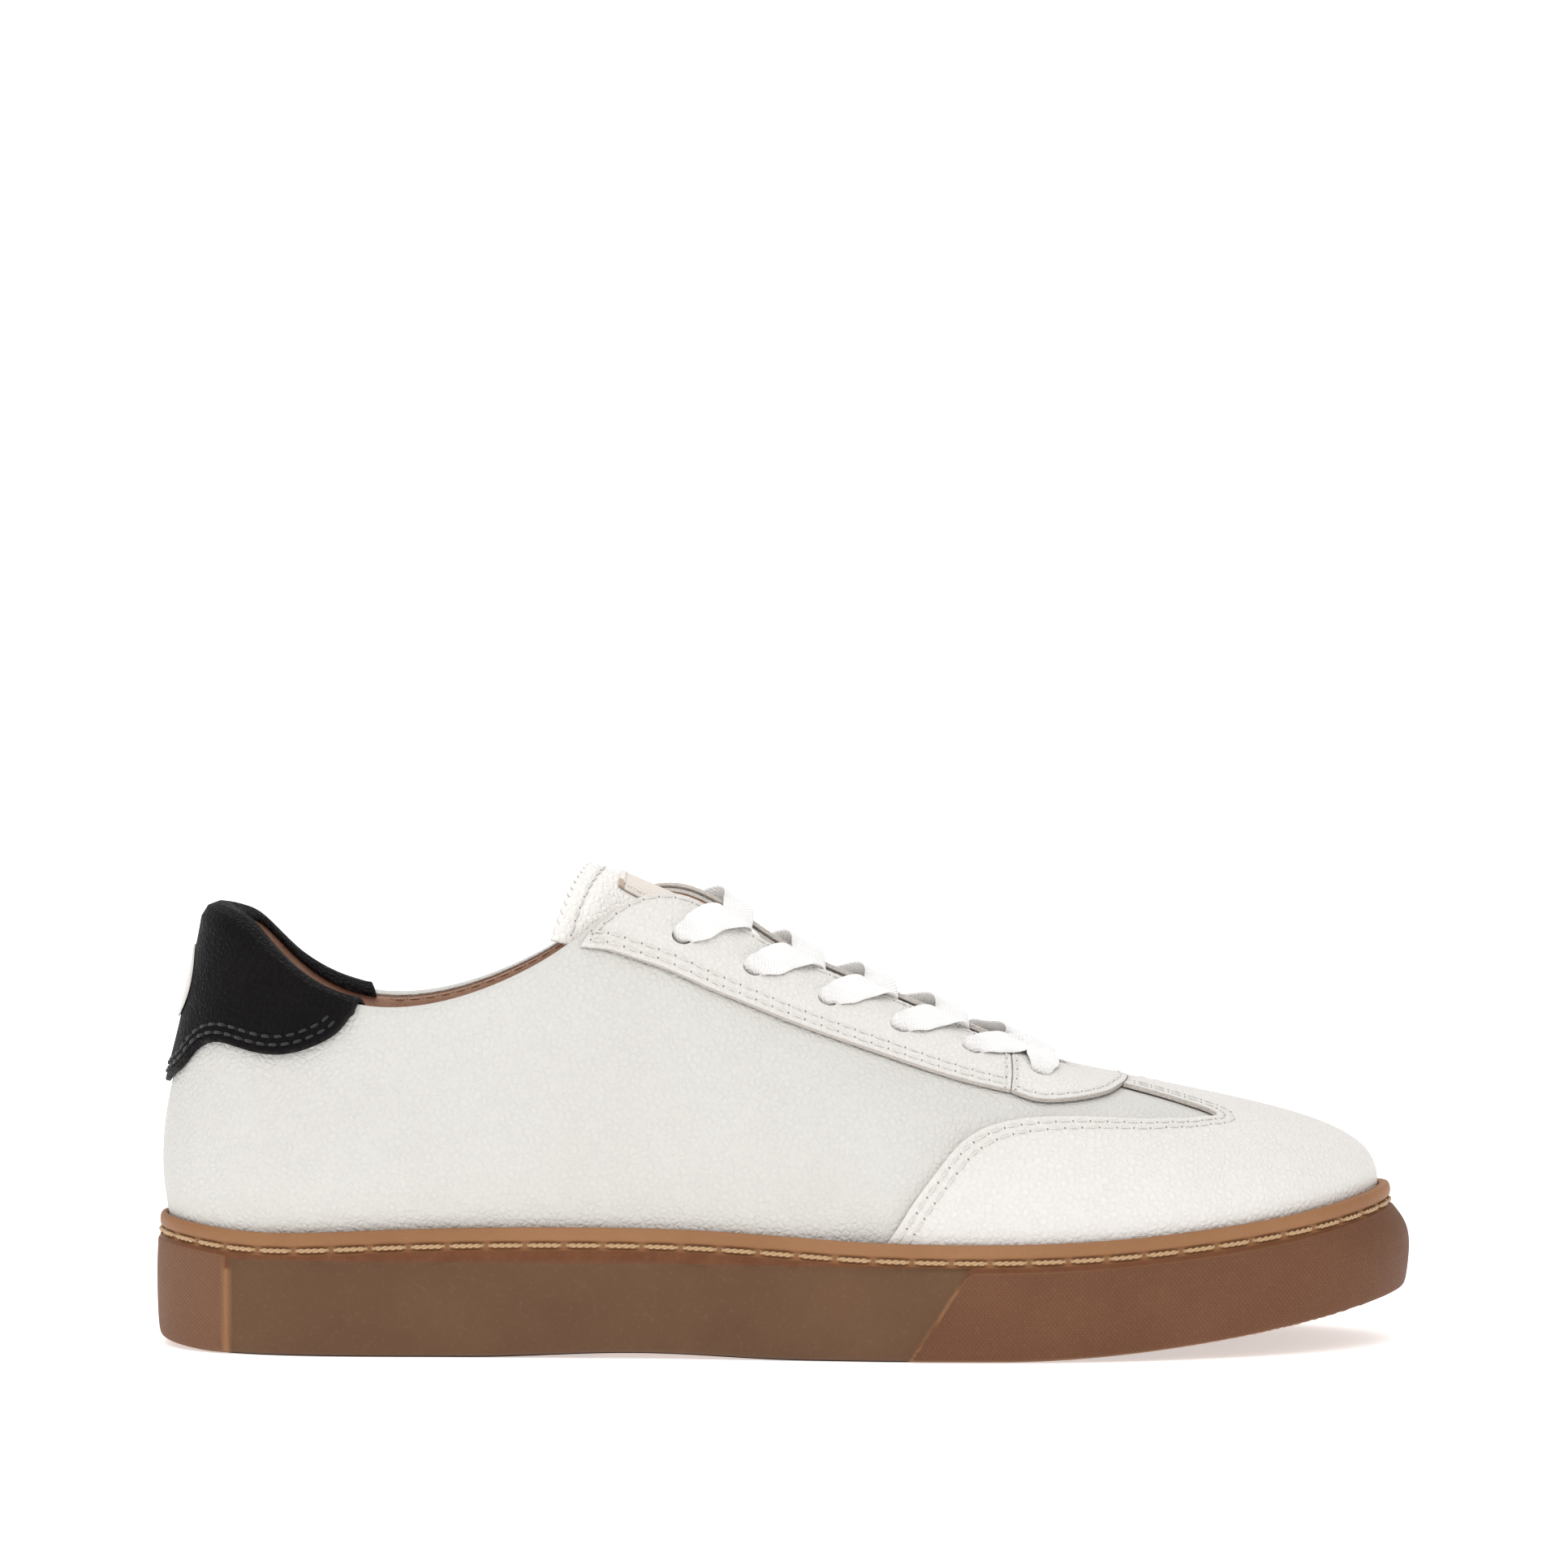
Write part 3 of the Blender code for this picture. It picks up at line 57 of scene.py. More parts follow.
# Rim of the cup along X, and the stations round the last (heel, lateral side, toe, medial side):
# base x, y, topline x, y, z, swell, three pulls of the wall's curve, collar pad, counter, sole wall.
rimX = [-152, -146, -128, -100, -50, -18, 16, 45, 74, 97, 121, 142, 150]
rimZ = [32.2, 31.4, 29.3, 29.7, 30.8, 30.2, 28.2, 27.5, 28.3, 30.3, 33.6, 38.2, 40.2]
stations = [
    (-146.6, 0.0, -136.8, 0.0, 101.3, 2.2, .33, .45, .55, 4.2, 1.5, 2.4),
    (-143.6, -14.5, -134.9, -10.8, 100.7, 2.3, .33, .46, .56, 4.2, 1.5, 2.5),
    (-134.5, -26.0, -128.6, -20.4, 97.9, 2.5, .33, .48, .58, 4.4, 1.5, 2.8),
    (-120.0, -33.8, -118.0, -27.8, 88.6, 2.6, .33, .50, .60, 4.6, 1.4, 3.2),
    (-100.0, -37.2, -101.5, -32.6, 80.3, 2.6, .33, .50, .62, 4.4, 1.0, 3.4),
    (-78.0, -38.0, -80.0, -34.0, 81.0, 2.4, .33, .50, .62, 3.8, 0.4, 3.4),
    (-58.0, -39.0, -60.0, -32.6, 89.0, 2.0, .34, .40, .66, 2.6, 0.0, 3.5),
    (-45.0, -39.8, -47.5, -28.2, 97.6, 1.5, .35, .30, .72, 1.0, 0.0, 3.6),
    (-36.0, -40.4, -37.5, -20.6, 104.9, 1.2, .35, .20, .78, 0.2, 0.0, 3.7),
    (-28.0, -41.1, -28.0, -14.5, 106.8, 1.0, .35, .15, .80, 0.0, 0.0, 3.8),
    (-18.0, -42.2, -18.0, -12.4, 103.3, 1.0, .36, .17, .79, 0.0, 0.0, 3.9),
    (0.0, -44.8, -2.0, -11.8, 93.6, 1.0, .36, .20, .78, 0.0, 0.0, 4.2),
    (25.0, -48.2, 22.0, -11.3, 83.0, 1.0, .38, .24, .79, 0.0, 0.0, 4.8),
    (48.0, -49.0, 44.0, -10.7, 73.6, 1.0, .40, .27, .80, 0.0, 0.0, 5.0),
    (70.0, -47.4, 57.0, -9.5, 68.6, 1.0, .42, .28, .78, 0.0, 0.0, 5.1),
    (92.0, -42.3, 63.0, -7.0, 66.1, 1.0, .44, .28, .74, 0.0, 0.0, 5.4),
    (112.0, -33.3, 65.6, -4.4, 65.2, 0.8, .45, .28, .68, 0.0, 0.0, 6.2),
    (128.5, -20.0, 66.3, -2.0, 65.0, 0.6, .46, .27, .63, 0.0, 0.0, 7.4),
    (137.3, -6.0, 66.6, 0.2, 64.95, 0.5, .46, .27, .60, 0.0, 0.0, 8.4),
    (140.3, 8.5, 66.7, 2.0, 64.9, 0.4, .46, .27, .60, 0.0, 0.0, 8.7),
    (136.9, 22.5, 66.6, 3.8, 64.95, 0.5, .46, .27, .60, 0.0, 0.0, 8.3),
    (127.0, 34.3, 66.3, 6.0, 65.0, 0.6, .46, .27, .63, 0.0, 0.0, 7.3),
    (111.0, 43.3, 65.4, 8.4, 65.2, 0.8, .45, .28, .68, 0.0, 0.0, 6.2),
    (92.0, 48.0, 62.6, 10.7, 66.2, 1.0, .44, .28, .74, 0.0, 0.0, 5.4),
    (70.0, 49.0, 56.5, 12.5, 68.7, 1.2, .42, .28, .78, 0.0, 0.0, 5.0),
    (48.0, 47.2, 44.0, 13.7, 73.8, 1.6, .40, .27, .80, 0.0, 0.0, 4.9),
    (25.0, 42.5, 22.0, 13.3, 83.4, 2.0, .38, .24, .79, 0.0, 0.0, 4.6),
    (0.0, 37.5, -2.0, 12.9, 94.8, 2.4, .36, .20, .78, 0.0, 0.0, 4.0),
    (-18.0, 35.4, -18.0, 13.6, 105.2, 2.5, .36, .17, .79, 0.0, 0.0, 3.8),
    (-28.0, 34.7, -28.0, 15.4, 107.9, 2.5, .35, .15, .80, 0.0, 0.0, 3.7),
    (-36.0, 34.4, -37.5, 20.8, 105.4, 2.5, .35, .20, .78, 0.2, 0.0, 3.6),
    (-45.0, 34.3, -47.5, 27.6, 97.6, 2.5, .35, .30, .72, 1.0, 0.0, 3.5),
    (-58.0, 34.5, -60.0, 31.8, 89.0, 2.4, .34, .40, .66, 2.6, 0.0, 3.4),
    (-78.0, 35.3, -80.0, 33.2, 81.0, 2.4, .33, .50, .62, 3.8, 0.4, 3.4),
    (-100.0, 35.7, -101.5, 32.2, 80.3, 2.5, .33, .50, .62, 4.4, 1.0, 3.4),
    (-120.0, 33.2, -118.0, 27.6, 88.6, 2.5, .33, .50, .60, 4.6, 1.4, 3.2),
    (-134.5, 25.6, -128.6, 20.2, 97.9, 2.4, .33, .48, .58, 4.4, 1.5, 2.8),
    (-143.6, 14.4, -134.9, 10.6, 100.7, 2.3, .33, .46, .56, 4.2, 1.5, 2.5),
]
stayEdgeXZ = [(-48.2, 95.6), (-41.6, 94.6), (-34, 92.2), (-24.4, 88.6), (-8.3, 81.6), (11.4, 74),
                (36.1, 65.6), (53, 61.2)]
vampEdgeXZ = [(24.1, 27.9), (26.9, 32.1), (30.7, 37.9), (35.7, 44.4), (40.7, 50), (46, 53.2), (52, 54.8),
             (60.2, 55.4), (72, 55.1), (84, 54.2)]
vampTipXY = [(90, -26.4), (95.6, -23.2), (99.4, -20.2), (101.9, -17.3), (99.8, -15.2), (95.7, -13.6),
             (89, -11.4), (80.3, -9.4)]
throatSeamX, tabLow = 52.8, 33.5
tabEdgeXZ = [(-144.9, 63.4), (-141.5, 66.6), (-138.9, 69.8), (-136.2, 72.0), (-133, 72.7), (-128.6, 71.8),
            (-122.3, 70.4), (-118.5, 70.3), (-114.9, 70.8), (-111.4, 71.9), (-107.8, 73.5), (-104.2, 76.0),
            (-101.7, 79.2)]
eyelets = [(-24.4, 97.2), (-7.9, 89.5), (9.9, 82.0), (26.9, 75.6), (43.9, 70.2), (60.2, 64.6)]

tongueX = [-60, -47, -38, -30, -20, -2, 22, 44, 57, 66, 74]
tongueZ = [116.6, 114.8, 111.2, 107.6, 102.6, 91.2, 79.4, 69.8, 64.3, 60.2, 57.2]


def unitRows(vectors):
    return vectors / np.linalg.norm(vectors, axis=1)[:, None]


def bySample(want, at, values, columns=2):
    # columns of values read off at wanted places along a row
    return np.column_stack([np.interp(want, at, values[:, k]) for k in range(columns)])


def levelled(points):
    # plan points in space, all at one height
    return np.column_stack([points, points[:, 0] * 0])


def roundedEdge(edge, radius):
    # how far a quarter-round falls away at each distance in from the edge
    return radius * (1 - np.sqrt(np.clip(1 - (1 - np.clip(edge / radius, 0, 1)) ** 2, 0, 1)))


def loft(rings, size):
    # faces between rings of points that lie one after another
    return [(k * size + i, k * size + (i + 1) % size, (k + 1) * size + (i + 1) % size, (k + 1) * size + i)
            for k in range(rings - 1) for i in range(size)]


def endCaps(rings, size):
    return [tuple(reversed(range(size))), tuple(range((rings - 1) * size, rings * size))]


class Spline:
    # smooth curve through rows of values at rising knots; closed when a period is given

    def __init__(self, knots, rows, period=None):
        self.period = period
        knots, rows = np.array(knots, float), np.array(rows, float)
        if rows.ndim == 1:
            rows = rows[:, None]
        if period:
            knots, rows = np.append(knots, knots[0] + period), np.vstack([rows, rows[:1]])
        n = len(knots) - 1
        step = np.diff(knots)
        slope = np.diff(rows, axis=0) / step[:, None]
        size = n if period else n + 1
        system, right = np.zeros((size, size)), np.zeros((size, rows.shape[1]))
        for i in range(size):
            if not period and i in (0, n):
                system[i, i] = 1
                continue
            before, after = step[i - 1], step[i % n]
            system[i, (i - 1) % size] += before
            system[i, i] += 2 * (before + after)
            system[i, (i + 1) % size] += after
            right[i] = 6 * (slope[i % n] - slope[i - 1])
        bend = np.linalg.solve(system, right)
        self.bend = np.vstack([bend, bend[:1]]) if period else bend
        self.knots, self.rows, self.step = knots, rows, step

    def __call__(self, at):
        at = np.atleast_1d(np.asarray(at, float))
        if self.period:
            at = (at - self.knots[0]) % self.period + self.knots[0]
        i = np.clip(np.searchsorted(self.knots, at, side="right") - 1, 0, len(self.step) - 1)
        h = self.step[i][:, None]
        a = (self.knots[i + 1] - at)[:, None] / h
        b = 1 - a
        return (a * self.rows[i] + b * self.rows[i + 1]
                + ((a ** 3 - a) * self.bend[i] + (b ** 3 - b) * self.bend[i + 1]) * h * h / 6)


base = np.array([row[:2] for row in stations])
chords = np.linalg.norm(np.roll(base, -1, axis=0) - base, axis=1)
knots = np.concatenate([[0], np.cumsum(chords)[:-1]])
around = float(chords.sum())
toeU = float(knots[19])
lines = Spline(knots, stations, around)
rimLine = Spline(rimX, rimZ)
tongueLine = Spline(tongueX, tongueZ)


def rimHeight(x):
    return rimLine(x)[:, 0]


def treadHeight(x):
    # underside of the sole: bevelled heel, low arch, rising toe spring
    x = np.atleast_1d(np.asarray(x, float))
    heel = np.clip((-136 - x) / 13, 0, 1) ** 2 * 1.2
    arch = 1.2 * np.clip(np.cos((x + 35) / 40 * math.pi / 2), 0, None) ** 2 * (abs(x + 35) < 40)
    toe = 0.00455 * np.clip(x - 52, 0, None) ** 1.73
    return heel + arch + toe


def smooth(x, low, high):
    t = np.clip((x - low) / (high - low), 0, 1)
    return t * t * (3 - 2 * t)


def outward(u):
    # plan normal of the last's outline, pointing out of the shoe
    along = unitRows(lines(u + 0.5)[:, :2] - lines(u - 0.5)[:, :2])
    return np.stack([along[:, 1], -along[:, 0]], axis=1)


def wall(u, t):
    # outer face of the quarter level: t 0 at the sole's rim, 1 at the topline, -1 inside the cup
    row = lines(u)
    out = outward(u)
    rim = rimHeight(row[:, 0])
    up, low = np.clip(t, 0, 1), np.clip(-t, 0, 1.2)
    across = 3 * (1 - up) * up ** 2 * row[:, 7] + up ** 3
    rise = 3 * (1 - up) ** 2 * up * row[:, 6] + 3 * (1 - up) * up ** 2 * row[:, 8] + up ** 3
    swell = 6.75 * up * (1 - up) ** 2 * row[:, 5] - low ** 2
    xy = row[:, :2] + (row[:, 2:4] - row[:, :2]) * across[:, None] + out * swell[:, None]
    z = rim + (row[:, 4] - rim) * rise - low * lipDrop
    return np.column_stack([xy, z])


def wallNormal(u, t):
    du = wall(u + 0.4, t) - wall(u - 0.4, t)
    high, low = np.clip(t + 0.01, None, 1), t - 0.01
    dt = wall(u, high) - wall(u, low)
    return unitRows(np.cross(du, dt))


def buildUp(u, t):
    # depth from the quarter's outer face to the lining's inner face
    row = lines(u)
    pad = np.clip(row[:, 9], 0, None) * smooth(t, .42, .84) * (1 - .3 * smooth(t, .86, 1))
    counter = np.clip(row[:, 10], 0, None) * (1 - smooth(t, .40, .62))
    return 2.6 + pad + counter


def section(u, v, depth=0.0):
    # Point of the chart: v below 0 inside the cup, to wallV up the outer face, to wallV + rollV over
    # the top edge, then down the lining's face. depth moves it out.
    u, v = np.atleast_1d(u).astype(float), np.atleast_1d(v).astype(float)
    turned = wallV + rollV
    t = np.where(v < 0, v / lipDrop, np.minimum(v / wallV, 1))
    back = v - turned
    t = np.where(back > 0, 1 - np.minimum(back / wallV, 1), t)
    t = np.where(back > wallV, -(back - wallV) / lipDrop, t)
    n, thick = wallNormal(u, t), buildUp(u, t)
    outer = wall(u, t)
    up = wall(u, np.clip(t, None, 1)) - wall(u, np.clip(t, None, 1) - .02)
    up -= n * (up * n).sum(1)[:, None]
    up = unitRows(up)
    turn = np.clip((v - wallV) / rollV, 0, 1) * math.pi
    normal = n * np.cos(turn)[:, None] + up * np.sin(turn)[:, None]
    point = outer - n * (thick / 2)[:, None] + normal * (thick / 2)[:, None]
    return point + normal * np.reshape(depth, (-1, 1))


def locate(side, a, b, axes=(0, 2)):
    # chart point whose place has the given x and z (or x and y) on one side of the shoe
    span = (0, toeU) if side < 0 else (toeU, around)
    us, ts = np.meshgrid(np.linspace(*span, 160), np.linspace(0, 1, 50))
    us, ts = us.ravel(), ts.ravel()
    grid = wall(us, ts)[:, axes]
    target = np.array([a, b], float)
    best = int(np.argmin(((grid - target) ** 2).sum(1)))
    u, t = us[best], ts[best]
    for _ in range(12):
        here = wall(np.array([u, u + .3, u]), np.array([t, t, t + .003]))[:, axes]
        slope = np.column_stack([(here[1] - here[0]) / .3, (here[2] - here[0]) / .003])
        step = np.linalg.lstsq(slope, target - here[0], rcond=None)[0]
        u += float(np.clip(step[0], -4, 4))
        t = float(np.clip(t + np.clip(step[1], -.05, .05), 0, 1))
    return u, t * wallV


def sideLine(side, points):
    return [locate(side, x, z) for x, z in points]


def planLine(points):
    return [locate(-1 if y < 2 else 1, x, y, (0, 1)) for x, y in points]


def otherSide(points):
    # the same plan points on the medial side of the toe's middle line
    return [(x, 2 * (2 + 0.11 * max(0, x - 80)) - y) for x, y in points]


def chartX(side, x, t=1.0):
    # chart u where a side's line at height t passes x
    span = (0, toeU) if side < 0 else (toeU, around)
    us = np.linspace(*span, 700)
    xs = wall(us, np.full(700, t))[:, 0]
    order = np.argsort(xs)
    return float(np.interp(x, xs[order], us[order]))


def innerSide(points):
    # chart points carried straight through the wall to the lining's face
    return np.array([(u, innerTop + wallV - v) for u, v in points])


def heelward(points):
    # medial chart points counted down from the heel line, so one outline can cross it
    return np.array([(u - around, v) for u, v in points])


def boardHeight(x):
    return rimHeight(x) - lipDrop


def lipOut(x):
    # how far the cup's lip stands out from the last
    return 2.0 + 0.8 * smooth(x, -140, -110) + 1.1 * smooth(x, 0, 20) + 0.8 * smooth(x, 100, 138)


def roundHole(u, v, radius, sides=26):
    # chart outline of a hole that is round on the surface
    du, dv, n = slopes(section, np.array([u]), np.array([v]))
    x = du / np.linalg.norm(du)
    y = np.cross(n, x)
    angles = np.arange(sides) * 2 * math.pi / sides
    moves = radius * (np.cos(angles)[:, None] * x + np.sin(angles)[:, None] * y)
    return np.array([u, v]) + chartMove(section, np.full((sides, 2), (u, v)), moves)


def rowsOf(values):
    values = np.asarray(values, float).reshape(-1, 2)
    return values[:, 0], values[:, 1]


def place(surface, line, depth=0.0):
    u, v = rowsOf(line)
    return surface(u, v, depth)


def lengthsOf(points):
    return np.concatenate([[0], np.cumsum(np.linalg.norm(np.diff(points, axis=0), axis=1))])


def resample(surface, line, step):
    # chart points an even true distance apart
    at = lengthsOf(place(surface, line))
    count = max(2, int(round(at[-1] / step)) + 1)
    want = np.linspace(0, at[-1], count)
    return bySample(want, at, line)


def curve(surface, points, step=1.2):
    points = np.array(points, float)
    smoothLine = Spline(lengthsOf(points), points)(np.linspace(0, lengthsOf(points)[-1], 300))
    return resample(surface, smoothLine, step)


def straightRun(surface, a, b, step=1.6):
    return resample(surface, np.linspace(a, b, 240), step)


def polyRun(surface, points, step=1.6):
    runs = [straightRun(surface, a, b, step) for a, b in zip(points, points[1:])]
    return np.vstack([runs[0], *(run[1:] for run in runs[1:])])


def join(surface, *runs):
    # one closed outline; points that nearly coincide are dropped
    line = np.vstack([np.asarray(run, float).reshape(-1, 2) for run in runs])
    solid = place(surface, line)
    kept = [0]
    for i in range(1, len(line)):
        if np.linalg.norm(solid[i] - solid[kept[-1]]) > 0.3:
            kept.append(i)
    if np.linalg.norm(solid[kept[-1]] - solid[kept[0]]) < 0.3:
        kept.pop()
    return line[kept]


def slopes(surface, u, v):
    here = surface(u, v, 0.0)
    du = (surface(u + .2, v, 0.0) - here) / .2
    dv = (surface(u, v + .2, 0.0) - here) / .2
    n = np.cross(du, dv)
    return du, dv, unitRows(n)


def chartMove(surface, line, move):
    du, dv, _ = slopes(surface, *rowsOf(line))
    a, b, c = (du * du).sum(1), (du * dv).sum(1), (dv * dv).sum(1)
    p, q = (du * move).sum(1), (dv * move).sum(1)
    det = a * c - b * b
    return np.column_stack([(c * p - b * q) / det, (a * q - b * p) / det])


def offsetLine(surface, line, distance, closed=False):
    # a line moved sideways on the surface, to the left of its own direction
    line = np.asarray(line, float)
    if closed:
        ahead, behind = np.roll(line, -1, axis=0) - line, line - np.roll(line, 1, axis=0)
    else:
        ahead = np.vstack([np.diff(line, axis=0), line[-1:] - line[-2:-1]])
        behind = np.vstack([line[1:2] - line[:1], np.diff(line, axis=0)])
    du, dv, n = slopes(surface, *rowsOf(line))
    sides = []
    for step in (ahead, behind):
        side = np.cross(n, du * step[:, :1] + dv * step[:, 1:])
        sides.append(unitRows(side))
    mean = unitRows(sides[0] + sides[1])
    mitre = 1 / np.clip((mean * sides[0]).sum(1), .6, 1)
    return line + chartMove(surface, line, mean * (distance * mitre)[:, None])


def turnOf(loop):
    ahead = np.roll(loop, -1, axis=0)
    return 1 if (loop[:, 0] * ahead[:, 1] - ahead[:, 0] * loop[:, 1]).sum() > 0 else -1


def inset(surface, loop, distance):
    return offsetLine(surface, loop, distance * turnOf(loop), closed=True)


def insideLoop(points, loop):
    a, b = loop, np.roll(loop, -1, axis=0)
    rise = np.where(b[:, 1] == a[:, 1], 1e-9, b[:, 1] - a[:, 1])
    found = []
    for block in np.array_split(points, max(1, len(points) // 4000)):
        x, y = block[:, 0][:, None], block[:, 1][:, None]
        where = a[:, 0] + (y - a[:, 1]) * (b[:, 0] - a[:, 0]) / rise
        found.append((((a[:, 1] > y) != (b[:, 1] > y)) & (where > x)).sum(1) % 2 == 1)
    return np.concatenate(found)


def nearestTo(points, line, closed=False):
    # true distance from each 3-D point to a 3-D line
    a = line if closed else line[:-1]
    d = (np.roll(line, -1, axis=0) if closed else line[1:]) - a
    size = np.maximum((d * d).sum(1), 1e-9)
    found = []
    for block in np.array_split(points, max(1, len(points) // 1500)):
        gap = block[:, None] - a
        s = np.clip((gap * d).sum(2) / size, 0, 1)
        found.append(np.linalg.norm(gap - d * s[:, :, None], axis=2).min(1))
    return np.concatenate(found)


def spread(surface, loop, spacing):
    # rows of chart points an even true distance apart, covering the outline's box
    low, high = loop.min(0), loop.max(0)
    points = []
    for k, v in enumerate(np.arange(low[1] + .4, high[1], spacing * .87)):
        us = np.linspace(low[0], high[0], 400)
        at = lengthsOf(surface(us, np.full(400, v), 0.0))
        want = np.arange(spacing * (.25 + .5 * (k % 2)), at[-1], spacing)
        points.append(np.column_stack([np.interp(want, at, us), np.full(len(want), v)]))
    return np.vstack(points)


def sheet(surface, loop, spacing, holes=(), rows=(), rings=(.22, .5, 1.0)):
    # triangulated chart sheet with close points along edges, holes and stitch rows
    edge3 = place(surface, loop)
    fine = [offsetLine(surface, loop, d * turnOf(loop), closed=True) for d in rings]
    for hole in holes:
        fine += [offsetLine(surface, hole, -d * turnOf(hole), closed=True) for d in rings[:2]]
    for row in rows:
        fine += [offsetLine(surface, row, d) for d in (-.9, -.45, 0, .45, .9)]
    fine = np.vstack(fine) if fine else np.zeros((0, 2))
    grid = spread(surface, loop, spacing)
    grid = grid[insideLoop(grid, loop)]
    far = nearestTo(place(surface, grid), edge3, True) > (rings[-1] if rings else 0) + spacing * .45
    for row in rows:
        far &= nearestTo(place(surface, grid), place(surface, row)) > 1.5
    for hole in holes:
        far &= nearestTo(place(surface, grid), place(surface, hole), True) > .9
    extra = np.vstack([fine[insideLoop(fine, loop)], grid[far]]) if len(fine) else grid[far]
    keep = nearestTo(place(surface, extra), edge3, True) > min(rings[0] if rings else .5, .5) * .7
    for hole in holes:
        keep &= ~insideLoop(extra, hole)
        keep &= nearestTo(place(surface, extra), place(surface, hole), True) > .12
    extra = thin(place(surface, extra[keep]), extra[keep], .16)
    points, edges = [], []
    for ring in (loop, *holes):
        first = len(points)
        edges += [(first + i, first + (i + 1) % len(ring)) for i in range(len(ring))]
        points += ring.tolist()
    points += extra.tolist()
    found, _, faces, *_ = delaunay_2d_cdt([Vector(p) for p in points], edges, [], 1, 1e-7)
    found = np.array([tuple(p) for p in found])
    faces = np.array([tuple(f) for f in faces if len(f) == 3])
    middle = found[faces].mean(1)
    keep = np.ones(len(faces), bool)
    for hole in holes:
        keep &= ~insideLoop(middle, hole)
    return found, faces[keep]


def thin(solid, flat, least):
    # drop points closer than least to an earlier one, by true distance
    cells = {}
    kept = []
    for i, key in enumerate(map(tuple, np.floor(solid / least).astype(int))):
        if key not in cells:
            cells[key] = i
            kept.append(i)
    return flat[kept]


def makePiece(name, points, faces, materials, body, replaced=(), slots=None, layers=None, flat=None):
    mesh = bpy.data.meshes.new(name)
    mesh.from_pydata((np.asarray(points) * mm).tolist(), [], [tuple(map(int, f)) for f in faces])
    mesh.update()
    mesh.shade_smooth()
    mesh.set_sharp_from_angle(angle=math.radians(48))
    for material in materials:
        mesh.materials.append(material)
    if slots is not None:
        mesh.polygons.foreach_set("material_index", np.asarray(slots, np.int32))
    for layer, values in (layers or {}).items():
        held = mesh.attributes.new(layer, "FLOAT", "POINT").data
        held.foreach_set("value", np.asarray(values, np.float32))
    if flat is not None:          # a UV map in millimetres for woven and moulded patterns
        uv = mesh.uv_layers.new(name="flat")
        corners = np.zeros(len(mesh.loops), np.int32)
        mesh.loops.foreach_get("vertex_index", corners)
        uv.data.foreach_set("uv", np.asarray(flat, np.float32)[corners].ravel())
    piece = bpy.data.objects.new(name, mesh)
    bpy.context.scene.collection.objects.link(piece)
    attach(piece, body)
    if replaced:
        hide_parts(*replaced)
    return piece


def shell(lower, upper, faces):
    # solid between two copies of a sheet
    n = len(lower)
    edges = np.vstack([faces[:, [0, 1]], faces[:, [1, 2]], faces[:, [2, 0]]])
    codes = set(map(tuple, edges.tolist()))
    side = [(a, b, b + n, a + n) for a, b in codes if (b, a) not in codes]
    solid = [tuple(f) for f in (faces + n).tolist()] + [tuple(f[::-1]) for f in faces.tolist()] + side
    return np.vstack([lower, upper]), solid


def makePanel(name, surface, loop, look, low, high, body, replaced, holes=(), rows=(), spacing=2.3,
              groove=.12, radius=.3, swell=None, flat=False):
    # leather panel: raw edges rounded over, pulled in along its stitch rows
    flatPoints, faces = sheet(surface, loop, spacing, holes, rows)
    u, v = rowsOf(flatPoints)
    solid = surface(u, v, 0.0)
    edge = nearestTo(solid, place(surface, loop), True)
    for hole in holes:
        edge = np.minimum(edge, nearestTo(solid, place(surface, hole), True))
    seam = np.full(len(solid), 9.0)
    for row in rows:
        seam = np.minimum(seam, nearestTo(solid, place(surface, row)))
    top = high - roundedEdge(edge, radius) - groove * np.exp(-(seam / .45) ** 2)
    if swell is not None:
        top = top + swell(u, v, edge)
    lower, upper = surface(u, v, low), surface(u, v, top)
    points, solidFaces = shell(lower, upper, faces)
    n = len(u)
    layers = {"edge": np.concatenate([np.zeros(n), edge]), "seam": np.concatenate([seam + 5, seam])}
    uv = np.vstack([flatPoints, flatPoints]) if flat else None
    return makePiece(name, points, solidFaces, [look], body, replaced, layers=layers, flat=uv)


def stitchShape(length, radius, sides=8, steps=7):
    # one stitch lying along X with its ends dipping into their holes
    points, faces = [], []
    for i in range(steps):
        f = -1 + 2 * i / (steps - 1)
        wide = radius * max(.18, (1 - abs(f) ** 3.2) ** .5)
        drop = -radius * 1.1 * abs(f) ** 3
        for k in range(sides):
            a = 2 * math.pi * k / sides
            points.append((f * length / 2, wide * math.cos(a) * 1.1, drop + wide * math.sin(a) * .9))
    for i in range(steps - 1):
        for k in range(sides):
            a, b = i * sides + k, i * sides + (k + 1) % sides
            faces.append((a, a + sides, b + sides, b))
    faces += [tuple(range(sides)), tuple(reversed(range((steps - 1) * sides, steps * sides)))]
    return np.array(points), faces


def pitShape(length, width, sides=10):
    # needle hole: a shallow dish, coloured dark as painted shade of the hole
    turn = np.arange(sides) * 2 * math.pi / sides
    rim = np.column_stack([length / 2 * np.cos(turn), width / 2 * np.sin(turn), np.zeros(sides)])
    base = rim * .55 + [0, 0, -.08]
    faces = [(k, (k + 1) % sides, (k + 1) % sides + sides, k + sides) for k in range(sides)]
    return np.vstack([rim, base]), faces + [tuple(range(sides, 2 * sides))]


